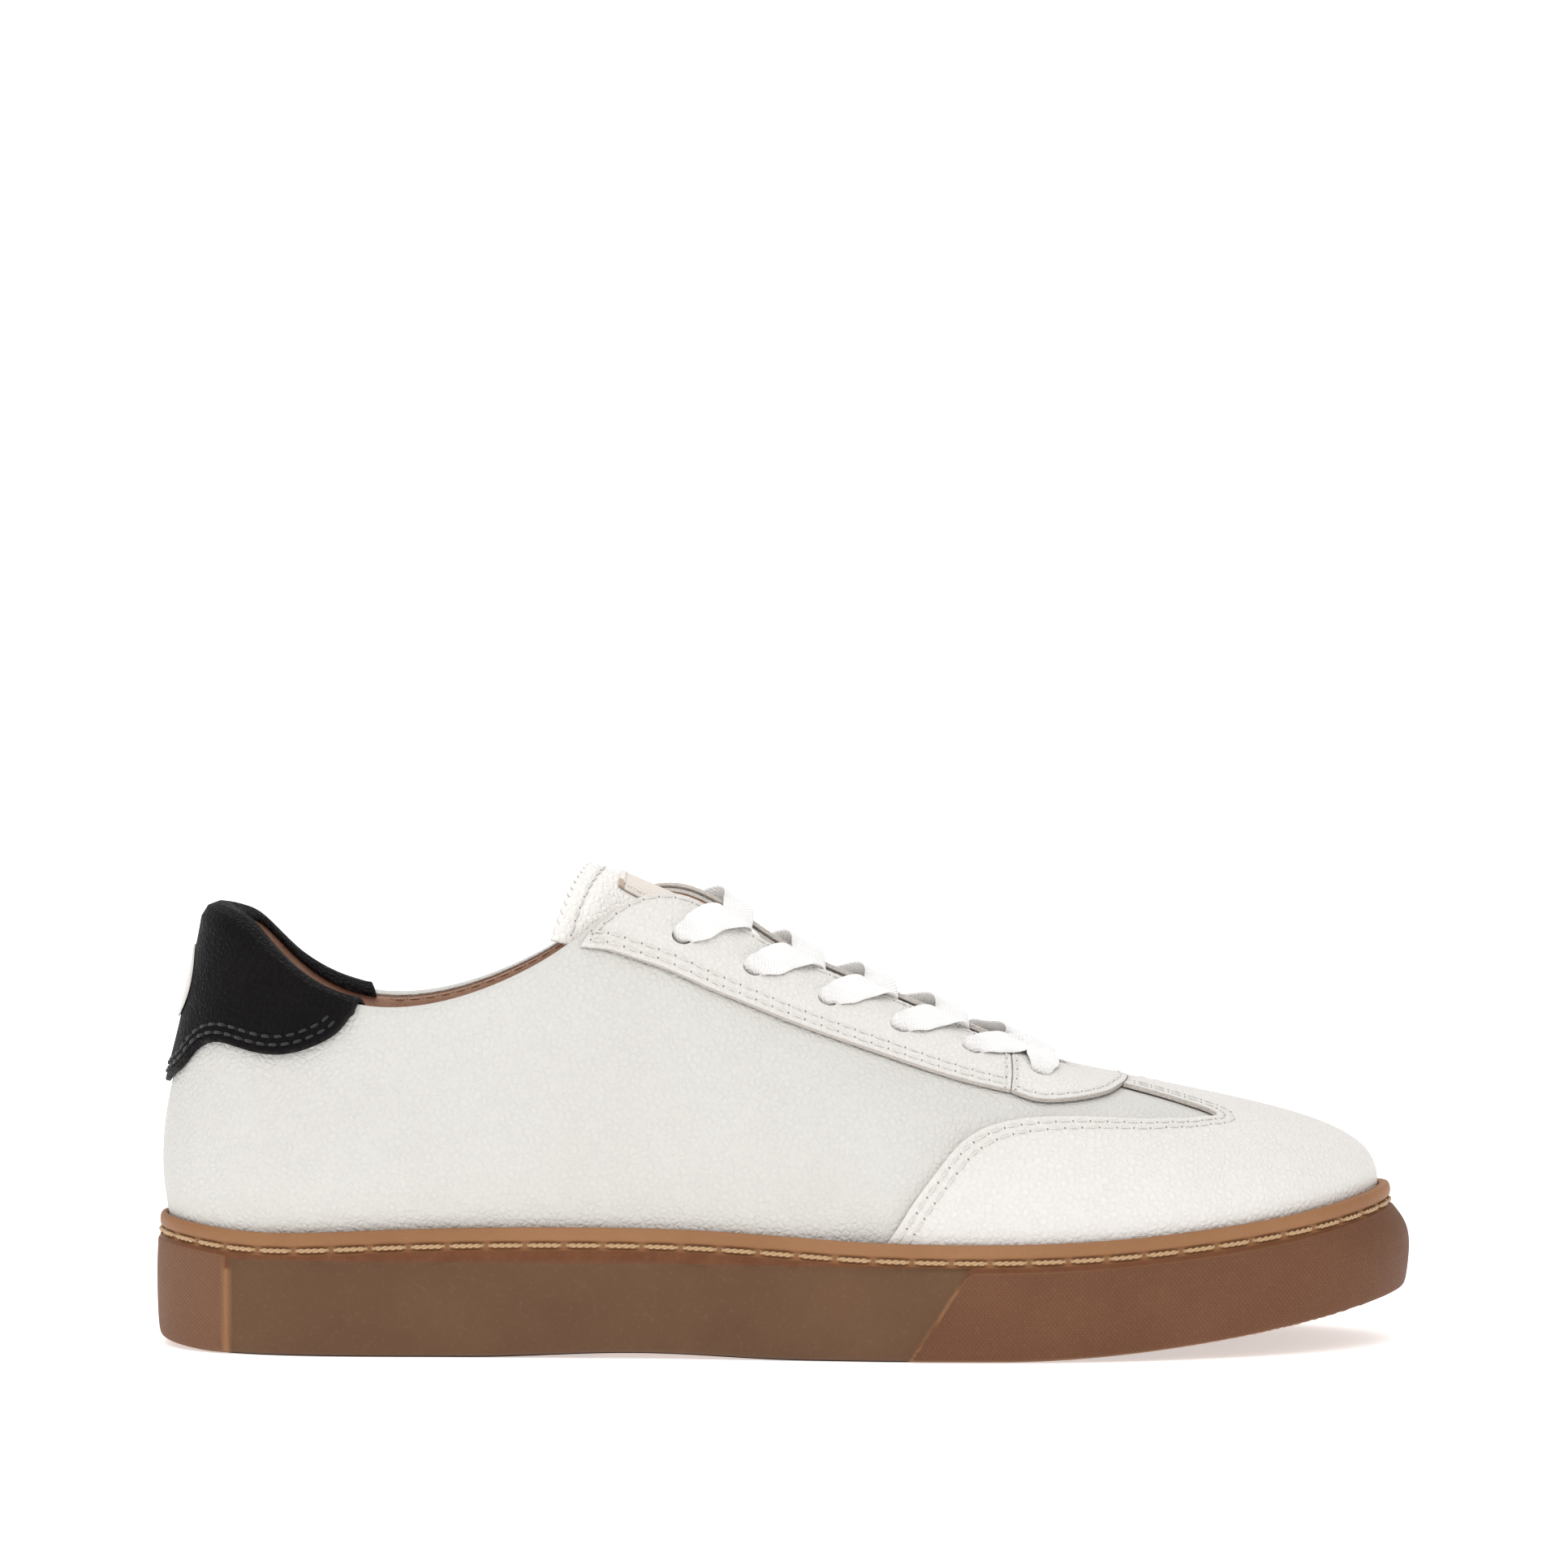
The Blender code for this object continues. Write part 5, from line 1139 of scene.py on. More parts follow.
def sidePanels(x, z, tread):
    # relief of the sidewall in mm, and where each moulded zone lies
    top = 22.6 - .35 * smooth(x, -40, 20)
    slant = 29 + 14 * np.clip(z / 21.5, 0, 1.15)
    behind = smooth(x, -131.0, -130.2)
    ahead = 1 - smooth(x - slant, -.5, .5)
    under = 1 - smooth(z, top - .4, top + .4)
    mid = behind * ahead * under
    groove = rimHeight(x) - grooveBelowRim
    heelTop = groove - 2.0
    raised = smooth(z, tread + .1, tread + .8)
    heel = (1 - smooth(x, -132.2, -131.4)) * (1 - smooth(z, heelTop - .5, heelTop + .1)) * raised
    corner = np.hypot(np.clip(slant + 2.4 - x, 0, None), np.clip(z - (groove - 4.4), 0, None))
    front = smooth(x - slant, .1, .6) * (1 - smooth(z, groove - 2.6, groove - 2.0))
    front = front * (1 - smooth(corner, 1.8, 2.3)) * raised
    band = smooth(z, groove - 5.6, groove - 4.8) * (1 - smooth(z, groove - 1.3, groove - .9))
    relief = -cupSettings["sunk"] * mid + .45 * heel + .5 * front
    return relief, {"mid": mid, "heel": heel, "front": front, "band": band * (1 - front) * (1 - heel)}


def treadRelief(x, y):
    # herringbone lugs under heel and forefoot, with a smooth arch and a turning circle
    pitch, depth = cupSettings["treadPitch"], cupSettings["treadDepth"]
    zigzag = abs((y / 9.0) % 2 - 1) * 9.0
    cut = abs(((x + zigzag * .8) / pitch) % 1 - .5) * 2
    lugs = smooth(cut, .52, .72)
    ring = np.hypot(x - 84, y - 4)
    circle = smooth(abs((ring / 4.4) % 1 - .5) * 2, .5, .72)
    lugs = np.where(ring < 22, circle, lugs)
    lugs = np.maximum(lugs * (smooth(x, 24, 25) + 1 - smooth(x, -44, -43)), 0)
    return depth * lugs


def makeCupsole():
    count = cupSettings["around"]
    u = np.linspace(0, around, count, endpoint=False)
    row, out = lines(u), outward(u)
    x, width = row[:, 0], row[:, 11]
    rim, floor = rimHeight(x), treadHeight(x) + cupFloor
    tread = treadHeight(x + out[:, 0] * width)
    lip, groove = lipOut(x), rim - grooveBelowRim
    inner = .35 + (leather + over) * smooth(x, 0, 20)
    guide = [(width - 3.6, tread), (width - 1.4, tread + .75), (width - .35, tread + 4.2),
             (width, tread + .5 * (rim - tread)), (lip + .42 * (width - lip), groove - 3.2),
             (lip + .05, groove - 1.15)]
    walls = cupSettings["wallRings"]
    guide = Spline(range(6), [np.concatenate(pair) for pair in guide])(np.linspace(0, 5, walls))
    rings = [(line[:count], line[count:]) for line in guide]
    deep = cupSettings["grooveDepth"]
    rings += [(lip - .25, groove - 1.0), (lip - deep, groove - .75), (lip - deep - .1, groove),
              (lip - deep, groove + .75), (lip - .3, groove + 1.0), (lip - .02, groove + 1.3)]
    rings += [(lip + .12, groove + 2.2), (lip + .05, rim - 1.2), (lip - .15, rim - .55),
              (lip - .5, rim - .12), (lip - .95, rim), (lip - 1.3, rim - .1), (inner + .25, rim - .2),
              (inner, rim - .5)]
    rings += [(inner, rim - f * (rim - floor - 1.5)) for f in (.3, .6, 1.0)] + [(inner - 1.6, floor)]
    points, flat, zones = [], [], {key: [] for key in ("mid", "heel", "front", "band")}
    for k, (d, z) in enumerate(rings):
        xy = row[:, :2] + out * d[:, None]
        relief, found = sidePanels(xy[:, 0], z, tread)
        fade = float(0 < k < walls - 1)
        points.append(np.column_stack([xy + out * (relief * fade)[:, None], z]))
        flat.append(np.column_stack([u, z]))
        for key, value in found.items():
            zones[key].append(value * float(k < walls))
    points, flat = np.vstack(points), np.vstack(flat)
    faces = loft(len(rings), count) + endCaps(len(rings), count)[1:]
    edge = points[:count, :2]
    step = cupSettings["treadStep"]
    grid = np.array([(a + step / 2 * (j % 2), b) for j, b in enumerate(np.arange(-60, 60, step * .87))
                     for a in np.arange(-155, 152, step)])
    grid = grid[insideLoop(grid, edge)]
    grid = grid[nearestTo(levelled(grid), levelled(edge), True) > .8]
    found, _, tris, *_ = delaunay_2d_cdt([Vector(p) for p in np.vstack([edge, grid]).tolist()],
                                         [(i, (i + 1) % count) for i in range(count)], [], 1, 1e-7)
    plate = np.array([tuple(p) for p in found])[count:]
    rimGap = nearestTo(levelled(plate), levelled(edge), True)
    cut = treadRelief(plate[:, 0], plate[:, 1]) * smooth(rimGap, 1.2, 2.4)
    first = len(points)
    points = np.vstack([points, np.column_stack([plate, treadHeight(plate[:, 0]) + cut])])
    faces += [tuple((i if i < count else first + i - count) for i in reversed(f)) for f in tris]
    extra = np.zeros(len(plate))
    layers = {key: np.concatenate([*value, extra]) for key, value in zones.items()}
    # depth of the tread's cut; drawn darker as painted shade in the gum's colour
    layers["sunk"] = np.concatenate([np.zeros(first), cut])
    flat = np.vstack([flat, plate])
    return makePiece("cupsoleMoulding", points, faces, [looks["gum"]], "shoe", ["cupsole"],
                     layers=layers, flat=flat)


# Sole thread: two twisted plies per stitch, both ends diving into the groove.
threadSettings = {"pitch": 9.1, "length": 8.9, "ply": .32, "apart": .25, "twist": 3.3,
                  "steps": 17, "sides": 7}


def makeSoleThread():
    u = np.linspace(0, around, 1600, endpoint=False)
    row = lines(u)
    line = np.column_stack([row[:, :2] + outward(u) * (lipOut(row[:, 0]) - .12)[:, None],
                            rimHeight(row[:, 0]) - grooveBelowRim])
    at = lengthsOf(np.vstack([line, line[:1]]))
    number = int(round(at[-1] / threadSettings["pitch"]))
    pitch = at[-1] / number
    half = threadSettings["length"] / 2
    points, faces = [], []
    steps, ringSides = threadSettings["steps"], threadSettings["sides"]
    closed = np.vstack([line, line[:1]])
    normals = np.vstack([outward(u), outward(u[:1])])
    for k in range(number):
        s = (k + .5) * pitch + np.linspace(-half, half, steps)
        centre = bySample(s % at[-1], at, closed, 3)
        out = levelled(bySample(s % at[-1], at, normals))
        along = unitRows(np.gradient(centre, axis=0))
        up = np.cross(out, along)
        f = np.linspace(-1, 1, steps)
        centre = centre - out * (1.5 * abs(f) ** 7)[:, None]
        for ply in (0, 1):
            turn = 2 * math.pi * f * half / threadSettings["twist"] + ply * math.pi
            swirl = threadSettings["apart"] * (1 - .5 * abs(f) ** 5)
            middle = centre + out * (np.cos(turn) * swirl)[:, None] + up * (np.sin(turn) * swirl)[:, None]
            wide = threadSettings["ply"] * (1 - .35 * abs(f) ** 6)
            first = sum(len(p) for p in points)
            for j in range(ringSides):
                a = 2 * math.pi * j / ringSides
                points.append(middle + out * (wide * math.cos(a))[:, None]
                              + up * (wide * math.sin(a))[:, None])
            for j in range(ringSides):
                m = (j + 1) % ringSides
                faces += [(first + j * steps + i, first + j * steps + i + 1, first + m * steps + i + 1,
                           first + m * steps + i) for i in range(steps - 1)]
            faces += [tuple(first + j * steps for j in range(ringSides)),
                      tuple(first + j * steps + steps - 1 for j in reversed(range(ringSides)))]
    return makePiece("soleThread", np.vstack(points), faces, [looks["waxed"]], "shoe", ["sole_stitching"])


print("building the sole")
makeCupsole()
makeSoleThread()

# Upper panels. A row is (distance in from the seam); depth and gauge follow the layer it sits in.
panelSettings = {"stayRows": (1.7, 4.0), "vampRows": (2.0, 4.2), "tabRows": (2.3, 4.2), "tongueRow": 4.0,
                 "pitch": 4.1, "stitch": 3.2, "gap": .16, "trim": .07, "throatLift": .15,
                 "collarRowX": (-52, -95), "collarRowUp": 1.0}
edgeGap, trim = panelSettings["gap"], panelSettings["trim"]


def padSwell(u, v, edge):
    # soft lift over the collar's padding
    return .35 * smooth(v, 44, 60) * (1 - smooth(v, 70, 75))


def trimmed(line, first, last):
    # the line without its first and last few millimetres
    at = lengthsOf(place(section, line))
    keep = (at > first) & (at < at[-1] - last)
    return line[keep]


def throatSeam(side):
    # where an eyestay meets the throat piece
    return straightRun(section, stayEdge[side][-1], (chartX(side, throatSeamX), wallV - .8))


print("cutting the upper")
for label, s in sides.items():
    loop = inset(section, quarterLoop(s), edgeGap)
    makePanel("quarterLeather_" + label, section, loop, looks["white"], -leather, 0.0, "shoe",
              ["quarter_" + label], holeLoops[s])
    rows = [offsetLine(section, stayEdge[s], -s * d) for d in panelSettings["stayRows"]]
    rows = [trimmed(line, 2.0, .8) for line in rows]
    rows.append(offsetLine(section, throatSeam(s), -s * 1.5))
    upper = polyRun(section, [(chartX(s, x), wallV - 1.6) for x in (48, 20, -8, -28, -37, -45.5)])
    loop = inset(section, stayLoop(s), trim)

    def skive(u, v, edge):
        # the leather thins out towards its rear tip
        return -.95 * (1 - smooth(section(u, v)[:, 0], -50, -38)) * (1 - smooth(edge, .2, 3.0))

    makePanel("eyestayLeather_" + label, section, loop, looks["bright"], over, over + leather, "shoe",
              ["eyestay_" + label], holeLoops[s][:5], rows + [upper], swell=skive)
    sewRows("eyestayStitches_" + label, section, rows + [upper], looks["whiteThread"], "shoe",
            over + leather, panelSettings["pitch"], panelSettings["stitch"])

throatRows = [offsetLine(section, throatSeam(s), s * 1.0) for s in (-1, 1)]
frontRow = offsetLine(section, throatFrontLine(), 1.8)
frontRow = frontRow[insideLoop(frontRow, inset(section, throatLoop(), .8))]
throatInner = over + panelSettings["throatLift"]
throatOuter = throatInner + leather
makePanel("throatLeather", section, inset(section, throatLoop(), trim), looks["bright"], throatInner,
          throatOuter, "shoe", ["throat_piece"], [holeLoops[s][5] for s in (-1, 1)],
          throatRows + [frontRow])
sewRows("throatStitches", section, throatRows + [frontRow], looks["whiteThread"], "shoe", throatOuter,
        panelSettings["pitch"], panelSettings["stitch"])

vampRows = []
for s in (-1, 1):
    line = np.vstack([vampEdge[s], vampTip[s][1:]])
    vampRows += [trimmed(offsetLine(section, line, s * d), 1.0, 1.5) for d in panelSettings["vampRows"]]
makePanel("vampLeather", section, inset(section, vampLoop(), trim), looks["bright"], over, over + leather,
          "shoe", ["vamp"], (), vampRows)
sewRows("vampStitches", section, vampRows, looks["whiteThread"], "shoe", over + leather,
        panelSettings["pitch"], panelSettings["stitch"])

tabRight = heelward(tabEdge[1])
tabBottom = curve(section, [tabRight[0], (0.0, tabLow), tabEdge[-1][0]])
lower = np.vstack([tabRight[::-1], tabBottom[1:-1], tabEdge[-1]])
tabRows = [trimmed(offsetLine(section, lower, d), 1.2, 1.2) for d in panelSettings["tabRows"]]
makePanel("heelTabLeather", section, inset(section, tabLoop(), edgeGap), looks["black"], over, over + leather,
          "shoe", ["heel_tab"], (), tabRows, groove=.3, swell=padSwell)
sewRows("heelTabStitches", section, tabRows, looks["blackThread"], "shoe", over + leather, 3.0, 2.6,
        radius=.36, pits=.06)

print("lining the shoe")
rearHoles = [loop - ([around, 0] if s > 0 else [0, 0]) for s in (-1, 1)
             for loop in (innerSide(h) for h in holeLoops[s][:3])]
ahead, behind = panelSettings["collarRowX"]
collarEnds = ((chartX(-1, ahead), chartX(-1, behind)),
              (chartX(1, behind) - around, chartX(1, ahead) - around))
collarRows = [polyRun(section, [(end, collarSeam + panelSettings["collarRowUp"]) for end in pair])
              for pair in collarEnds]
makePanel("quarterLining", section, inset(section, liningLoop(True), edgeGap), looks["lining"], -lining, 0.0,
          "shoe", ["quarter_lining"], rearHoles, collarRows, spacing=2.8)
sewRows("collarStitches", section, collarRows, looks["tanThread"], "shoe", 0.0, 3.6, 2.9,
        radius=.16, pits=.35)
vampHoles = [innerSide(h) for s in (-1, 1) for h in holeLoops[s][3:]]
makePanel("vampLining", section, inset(section, liningLoop(False), edgeGap), looks["lining"], -lining, 0.0,
          "shoe", ["vamp_lining"], vampHoles, spacing=3.6)

# Collar padding: one foam roll between leather and lining, with the CAD's section at finer steps.
foamSettings = {"rings": 150, "back": .62, "clear": .6, "frontX": -56}


def makeCollarFoam():
    left, right = (chartX(side, foamSettings["frontX"]) for side in (-1, 1))
    right -= around
    step = around / 64
    ends = math.floor(left / step) * step, math.ceil(right / step) * step
    low = wallV * foamSettings["back"]
    v = np.concatenate([np.linspace(low, wallV, 9), np.linspace(wallV, innerTop, 11)[1:],
                        np.linspace(innerTop, innerTop + wallV - low, 9)[1:]])
    us = np.linspace(*ends, foamSettings["rings"])
    depth = np.where(v < collarV, -leather, -lining) - foamSettings["clear"]
    rings = [section(np.full(len(v), here), v, depth) for here in us]
    faces = loft(len(us), len(v)) + endCaps(len(us), len(v))
    piece = makePiece("collarPadding", np.vstack(rings), faces, [looks["foam"]], "shoe", ["collar_foam"])
    return piece


makeCollarFoam()

# Footbed: cloth-topped foam inside the cup, its edge rounded over.
footbedSettings = {"inset": 6.4, "step": 3.2, "round": 1.6}


def makeFootbed():
    u = np.linspace(0, around, 360, endpoint=False)
    loop = lines(u)[:, :2] - outward(u) * footbedSettings["inset"]
    step = footbedSettings["step"]
    grid = np.array([(a + step / 2 * (j % 2), b) for j, b in enumerate(np.arange(-50, 55, step * .87))
                     for a in np.arange(-150, 145, step)])
    grid = grid[insideLoop(grid, loop)]
    level = levelled(loop)
    away = nearestTo(levelled(grid), level, True)
    grid = grid[away > 3.4]
    points, edges = loop.tolist(), [(i, (i + 1) % len(loop)) for i in range(len(loop))]
    for inward in (.35, .9, 1.7, 2.7):
        points += (loop - outward(u) * inward).tolist()
    points += grid.tolist()
    found, _, tris, *_ = delaunay_2d_cdt([Vector(p) for p in points], edges, [], 1, 1e-7)
    plan = np.array([tuple(p) for p in found])
    away = nearestTo(levelled(plan), level, True)
    drop = roundedEdge(away, footbedSettings["round"])
    bottom = boardHeight(plan[:, 0]) + boardThick + .3
    upper = np.column_stack([plan, bottom + footbedThick - drop])
    solid, faces = shell(np.column_stack([plan, bottom]), upper, np.array(tris))
    piece = makePiece("footbedCushion", solid, faces, [looks["footbed"]], "footbed", ["footbed"])
    return piece


makeFootbed()

# Tongue, on its own chart: x along it and q * 30 across it.
tongueSettings = {"scallop": 2.9, "bite": 1.25, "width": 30.0}


def tongueFlat(x, across, depth=0.0):
    return tongueOut(x, np.asarray(across) / tongueSettings["width"], depth)


def tongueLoop(insetBy, front, pinked=False):
    # plan of a tongue layer, set in from the rear and side edges
    wide = tongueSettings["width"]
    edge = 1 - insetBy / 32
    q = np.linspace(edge, -edge, 150)
    rear = np.column_stack([tongueRear(q) + insetBy, q * wide])
    if pinked:
        at = lengthsOf(place(tongueFlat, rear))
        fine = np.linspace(0, at[-1], int(at[-1] / .36))
        rear = bySample(fine, at, rear)
        tooth = abs((fine / tongueSettings["scallop"]) % 1 - .5) * 2
        lobe = 1 - np.sqrt(1 - np.square(tooth * .98))
        rear[:, 0] += tongueSettings["bite"] * lobe * smooth(edge - abs(rear[:, 1] / wide), .02, .08)
    corners = [(tongueRear(-edge) + insetBy, -edge * wide), (front, -edge * wide), (front, edge * wide),
               (tongueRear(edge) + insetBy, edge * wide)]
    return join(tongueFlat, rear, polyRun(tongueFlat, corners, 2.0))


def tonguePad(x, q):
    # foam thickness: full in the middle, thin at the edges and at the seam
    return .8 + 3.6 * (1 - np.abs(q) ** 4) * smooth(x, -44, -36) * (1 - smooth(x, 30, 62))


def rearRow(insetBy, reach=.93):
    q = np.linspace(-reach, reach, 160)
    line = np.column_stack([tongueRear(q) + insetBy, q * tongueSettings["width"]])
    return resample(tongueFlat, line, 1.2)


def makeTongueLayer(name, loop, look, low, high, replaced, rows=(), spacing=2.4, radius=.4,
                    rings=(.22, .5, 1.0)):
    # a layer of the tongue; low and high give its faces' heights as numbers or from (x, q)
    flatPoints, faces = sheet(tongueFlat, loop, spacing, (), rows, rings)
    x, across = rowsOf(flatPoints)
    q = across / tongueSettings["width"]
    solid = tongueFlat(x, across, 0.0)
    edge = nearestTo(solid, place(tongueFlat, loop), True)
    seam = np.full(len(x), 9.0)
    for row in rows:
        seam = np.minimum(seam, nearestTo(solid, place(tongueFlat, row)))
    bottom, top = (face(x, q) if callable(face) else x * 0 + face for face in (low, high))
    top = top - .25 * np.exp(-(seam / .7) ** 2)
    squeeze = np.minimum(roundedEdge(edge, radius), (top - bottom) * .45)
    points, solidFaces = shell(tongueFlat(x, across, bottom + squeeze),
                               tongueFlat(x, across, top - squeeze), faces)
    layers = {"edge": np.concatenate([edge * 0 + .5, edge]), "seam": np.concatenate([seam + 5, seam])}
    return makePiece(name, points, solidFaces, [look], "tongue", replaced, layers=layers,
                     flat=np.vstack([flatPoints, flatPoints]))


print("making the tongue")
faceRow = rearRow(panelSettings["tongueRow"])
makeTongueLayer("tongueLeather", tongueLoop(0, 72, True), looks["tongue"], -1.0, 0, ["tongue_face"],
                [faceRow])
sewRows("tongueStitches", tongueFlat, [faceRow], looks["whiteThread"], "tongue", 0.0, 3.6, 2.8)
pad = makeTongueLayer("tonguePadding", tongueLoop(5, 70), looks["foam"],
                      lambda x, q: -1.3 - tonguePad(x, q), -1.3, ["tongue_foam"], spacing=3.0,
                      radius=1.6, rings=(.5, 1.2, 2.2))
makeTongueLayer("tongueLining", tongueLoop(1.5, 71), looks["lining"], lambda x, q: -2.4 - tonguePad(x, q),
                lambda x, q: -1.6 - tonguePad(x, q), ["tongue_lining"], spacing=3.0)

# Label: a ribbed strip sewn to the tongue, with a plain folded end at the rear.
labelSettings = {"front": -21.5, "rear": -39.2, "half": 9.0}


def boxLoop(x0, x1, half):
    ring = [(x0, -half), (x1, -half), (x1, half), (x0, half)]
    return join(tongueFlat, polyRun(tongueFlat, ring + ring[:1], .9))


labelRim = boxLoop(labelSettings["rear"], labelSettings["front"], labelSettings["half"])
makeTongueLayer("tongueLabel", labelRim, looks["label"], .3, .92, ["tongue_label"], spacing=1.1, radius=.25)
labelRow = boxLoop(labelSettings["rear"] + 1.3, labelSettings["front"] - 1.3, labelSettings["half"] - 1.3)
sewRows("labelStitches", tongueFlat, [np.vstack([labelRow, labelRow[:1]])], looks["whiteThread"], "tongue",
        .92, 2.6, 2.0, radius=.22)

# Heel badge: a plain moulded disc with a raised rim.
badgeSettings = {"u": 0.0, "v": 57.0, "radius": 9.0, "rim": 1.2}
badgeLoop = roundHole(badgeSettings["u"], badgeSettings["v"], badgeSettings["radius"], 60)


def badgeRim(u, v, edge):
    ring = badgeSettings["rim"]
    inner = (1 - smooth(edge, 4.2, 5.0)) * smooth(edge, 3.4, 3.8)
    return -.22 * smooth(edge, ring, ring + .5) + .14 * inner


makePanel("heelBadge", section, badgeLoop, looks["badge"], 2 * over + leather, 2 * over + leather + .4,
          "shoe", ["heel_badge"], spacing=.8, groove=0, radius=.3, swell=badgeRim)

# Lace: one flat braid through all twelve eyelets.
laceSettings = {"half": 4.15, "gauge": .8, "step": .75, "shape": 2.5, "pinch": 2.1}


def laceFrames(step):
    # even points along the lace, with their directions and how far each is from a hole
    path = lacePath()
    chord = np.linalg.norm(np.diff(path, axis=0), axis=1)
    knotsAt = np.concatenate([[0], np.cumsum(chord ** .6)])
    fine = Spline(knotsAt, path)(np.linspace(0, knotsAt[-1], 9000))
    length = lengthsOf(fine)
    centres = [(section(u, v, 0) + under(u, v / wallV, 0))[0] / 2 for s in (-1, 1) for u, v in holes[s]]
    want = np.linspace(0, length[-1], int(length[-1] / step))
    pick = bySample(want, length, fine, 3)
    along = unitRows(np.gradient(pick, axis=0))
    slope = (tongueLine(pick[:, 0] + 1)[:, 0] - tongueLine(pick[:, 0] - 1)[:, 0]) / 2
    across = np.column_stack([np.ones(len(pick)), np.zeros(len(pick)), slope])
    across -= along * (across * along).sum(1)[:, None]
    across = unitRows(across)
    near = np.min([np.linalg.norm(pick - c, axis=1) for c in centres], axis=0)
    return pick, along, across, near, want


def makeLace():
    centre, along, across, near, travel = laceFrames(laceSettings["step"])
    open_ = smooth(near, 1.8, 6.5)
    wide = laceSettings["pinch"] + (laceSettings["half"] - laceSettings["pinch"]) * open_
    thick = laceSettings["gauge"] + .5 * (1 - smooth(near, 2.2, 5.5))
    up = np.cross(across, along)
    turn = np.arange(24) * 2 * math.pi / 24
    power = 2 / laceSettings["shape"]
    a = np.sign(np.cos(turn)) * abs(np.cos(turn)) ** power
    b = np.sign(np.sin(turn)) * abs(np.sin(turn)) ** power
    fold = (1 - open_) * .4
    rings = [centre + across * (wide * i)[:, None]
             + up * (thick * j * (1 - .28 * i * i) + fold * (abs(i) - .4) * 1.1)[:, None]
             for i, j in zip(a, b)]
    n, m = len(centre), len(turn)
    points = np.stack(rings, axis=1).reshape(-1, 3)
    faces = [(i * m + k, (i + 1) * m + k, (i + 1) * m + (k + 1) % m, i * m + (k + 1) % m)
             for i in range(n - 1) for k in range(m)]
    faces += [tuple(range(m)), tuple(reversed(range((n - 1) * m, n * m)))]
    flat = np.column_stack([np.repeat(travel, m), (a[None, :] * wide[:, None]).ravel()])
    # how pinched the lace is near each eyelet; drawn darker as painted shade in the lace's colour
    pinch = np.repeat(1 - smooth(near, 1.5, 6.5), m)
    piece = makePiece("flatLace", points, faces, [looks["lace"]], "shoe", ["shoelace"],
                      layers={"pinch": pinch}, flat=flat)
    for end, name in ((0, "medial"), (-1, "lateral")):
        outwards = along[end] * (-1 if end == 0 else 1)
        makeAglet("agletSleeve_" + name, centre[end] + outwards * .4, centre[end] + outwards * 16,
                  ["aglet_" + name])
    return piece


def makeAglet(name, start, stop, replaced):
    # plastic sleeve: a slightly waisted tube with rounded ends
    along = (stop - start) / np.linalg.norm(stop - start)
    side = np.cross(along, [1, 0, 0])
    side /= np.linalg.norm(side)
    up = np.cross(along, side)
    profile = [(0, .7), (.01, 1.0), (.03, 1.2), (.2, 1.12), (.5, 1.08), (.8, 1.12), (.97, 1.2), (.99, 1.0),
               (1, .7)]
    turn = np.arange(20) * math.pi / 10
    ring = np.cos(turn)[:, None] * side + np.sin(turn)[:, None] * up
    rings = [start + (stop - start) * f + r * ring for f, r in profile]
    faces = loft(len(profile), len(turn)) + endCaps(len(profile), len(turn))
    return makePiece(name, np.vstack(rings), faces, [looks["plastic"]], "shoe", replaced)


print("lacing")
makeLace()

# CAD pieces sealed inside the shoe keep their own shape, with a finish each.
for node, look in (("foam_midsole", "foam"), ("lasting_board", "board"), ("toe_puff", "board"),
                   ("heel_counter", "board")):
    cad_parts[node].data.materials.clear()
    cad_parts[node].data.materials.append(looks[look])

print("camera, light and floor")
stageSettings = {"lens": 200, "eye": (0, -2.073, .209), "pitch": 2.1, "sky": .6, "sun": 1.3, "softness": 70,
                 "key": 2.3, "rim": 4.6}


def aim(thing, target):
    thing.rotation_euler = (Vector(target) - thing.location).to_track_quat("-Z", "Y").to_euler()


def addLight(name, power, size, place_, target):
    lamp = bpy.data.lights.new(name, "AREA")
    lamp.energy, lamp.shape, lamp.size, lamp.size_y = power, "RECTANGLE", *size
    holder = bpy.data.objects.new(name, lamp)
    bpy.context.scene.collection.objects.link(holder)
    holder.location = place_
    aim(holder, target)
    return holder


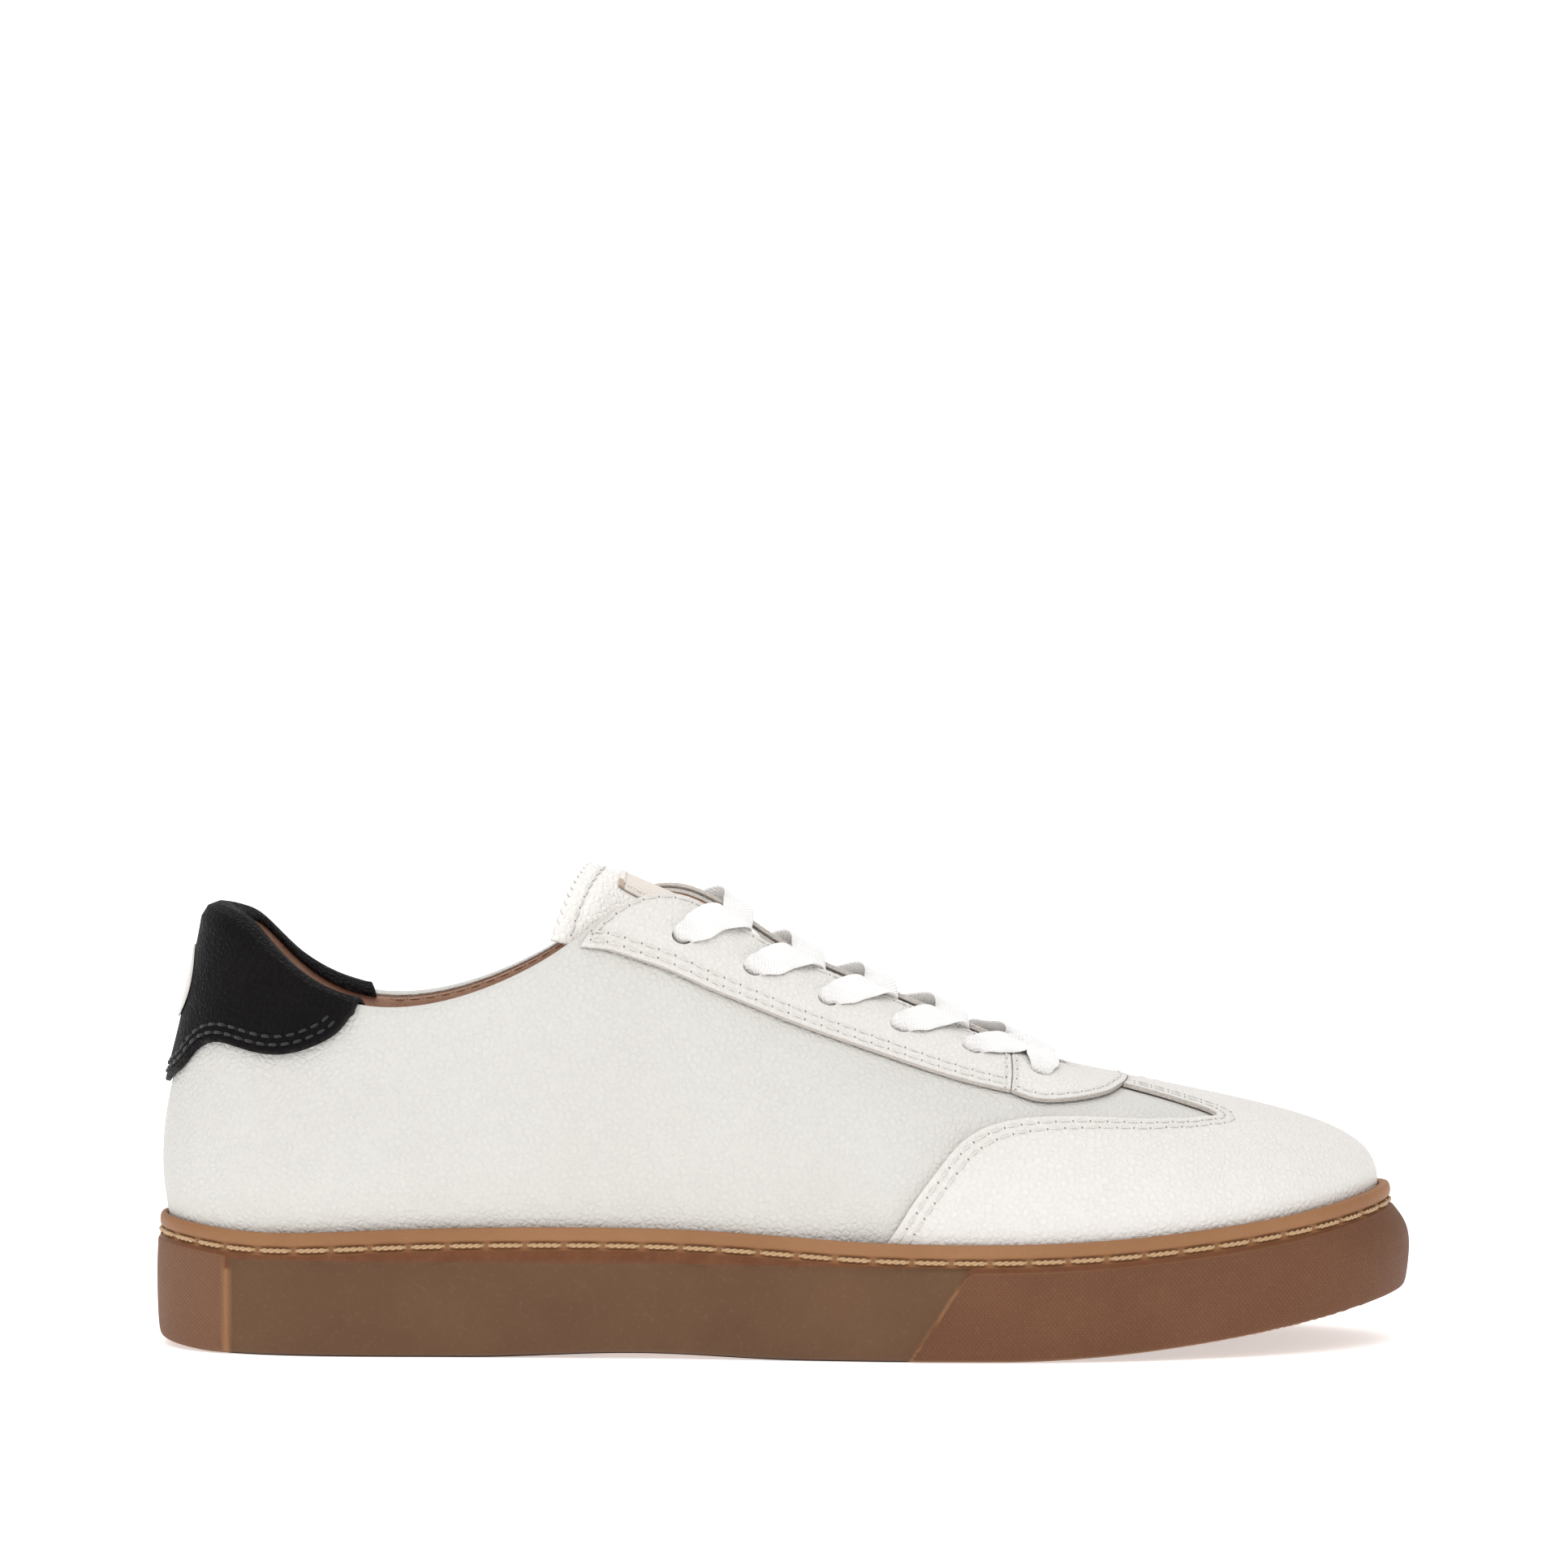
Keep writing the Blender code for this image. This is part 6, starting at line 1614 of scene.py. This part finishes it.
def makeFloor():
    # a floor that curves up far behind, so that no horizon shows
    profile = [(-4.0, 0)]
    profile += [(4.0 + 1.5 * math.sin(a), 1.5 * (1 - math.cos(a))) for a in np.linspace(0, 1.2, 16)]
    points = [(x, y, z) for y, z in profile for x in np.linspace(-4, 4, 9)]
    faces = [(r * 9 + k, r * 9 + k + 1, (r + 1) * 9 + k + 1, (r + 1) * 9 + k)
             for r in range(len(profile) - 1) for k in range(8)]
    mesh = bpy.data.meshes.new("studioFloor")
    mesh.from_pydata(points, [], faces)
    mesh.shade_smooth()
    mesh.materials.append(floorLook())
    floor = bpy.data.objects.new("studioFloor", mesh)
    bpy.context.scene.collection.objects.link(floor)


makeFloor()
lens = bpy.data.cameras.new("camera")
lens.lens, lens.sensor_width = stageSettings["lens"], 36
camera = bpy.data.objects.new("camera", lens)
bpy.context.scene.collection.objects.link(camera)
camera.location = stageSettings["eye"]
camera.rotation_euler = (math.radians(90 - stageSettings["pitch"]), 0, 0)
bpy.context.scene.camera = camera
addLight("softBox", stageSettings["key"], (1.4, .5), (.15, -1.0, 1.1), (0, 0, .04))
addLight("rimLight", stageSettings["rim"], (1.6, .8), (.2, 1.1, 1.4), (0, 0, .06))
sunLamp = bpy.data.lights.new("skylight", "SUN")
sunLamp.energy, sunLamp.angle = stageSettings["sun"], math.radians(stageSettings["softness"])
sunHolder = bpy.data.objects.new("skylight", sunLamp)
bpy.context.scene.collection.objects.link(sunHolder)
sunHolder.location = (-.4, -.8, 2.5)
aim(sunHolder, (0, 0, 0))

world = bpy.data.worlds.new("studio")
world.use_nodes = True
bpy.context.scene.world = world
sky = world.node_tree.nodes["Background"]
sky.inputs["Color"].default_value = (1, 1, 1, 1)
seen = world.node_tree.nodes.new("ShaderNodeMath")       # the sky itself shows as plain white
seen.operation, seen.inputs[1].default_value = "MAXIMUM", stageSettings["sky"]
rays = world.node_tree.nodes.new("ShaderNodeLightPath")
world.node_tree.links.new(rays.outputs["Is Camera Ray"], seen.inputs[0])
world.node_tree.links.new(seen.outputs[0], sky.inputs["Strength"])
bpy.context.scene.view_settings.view_transform = "Standard"
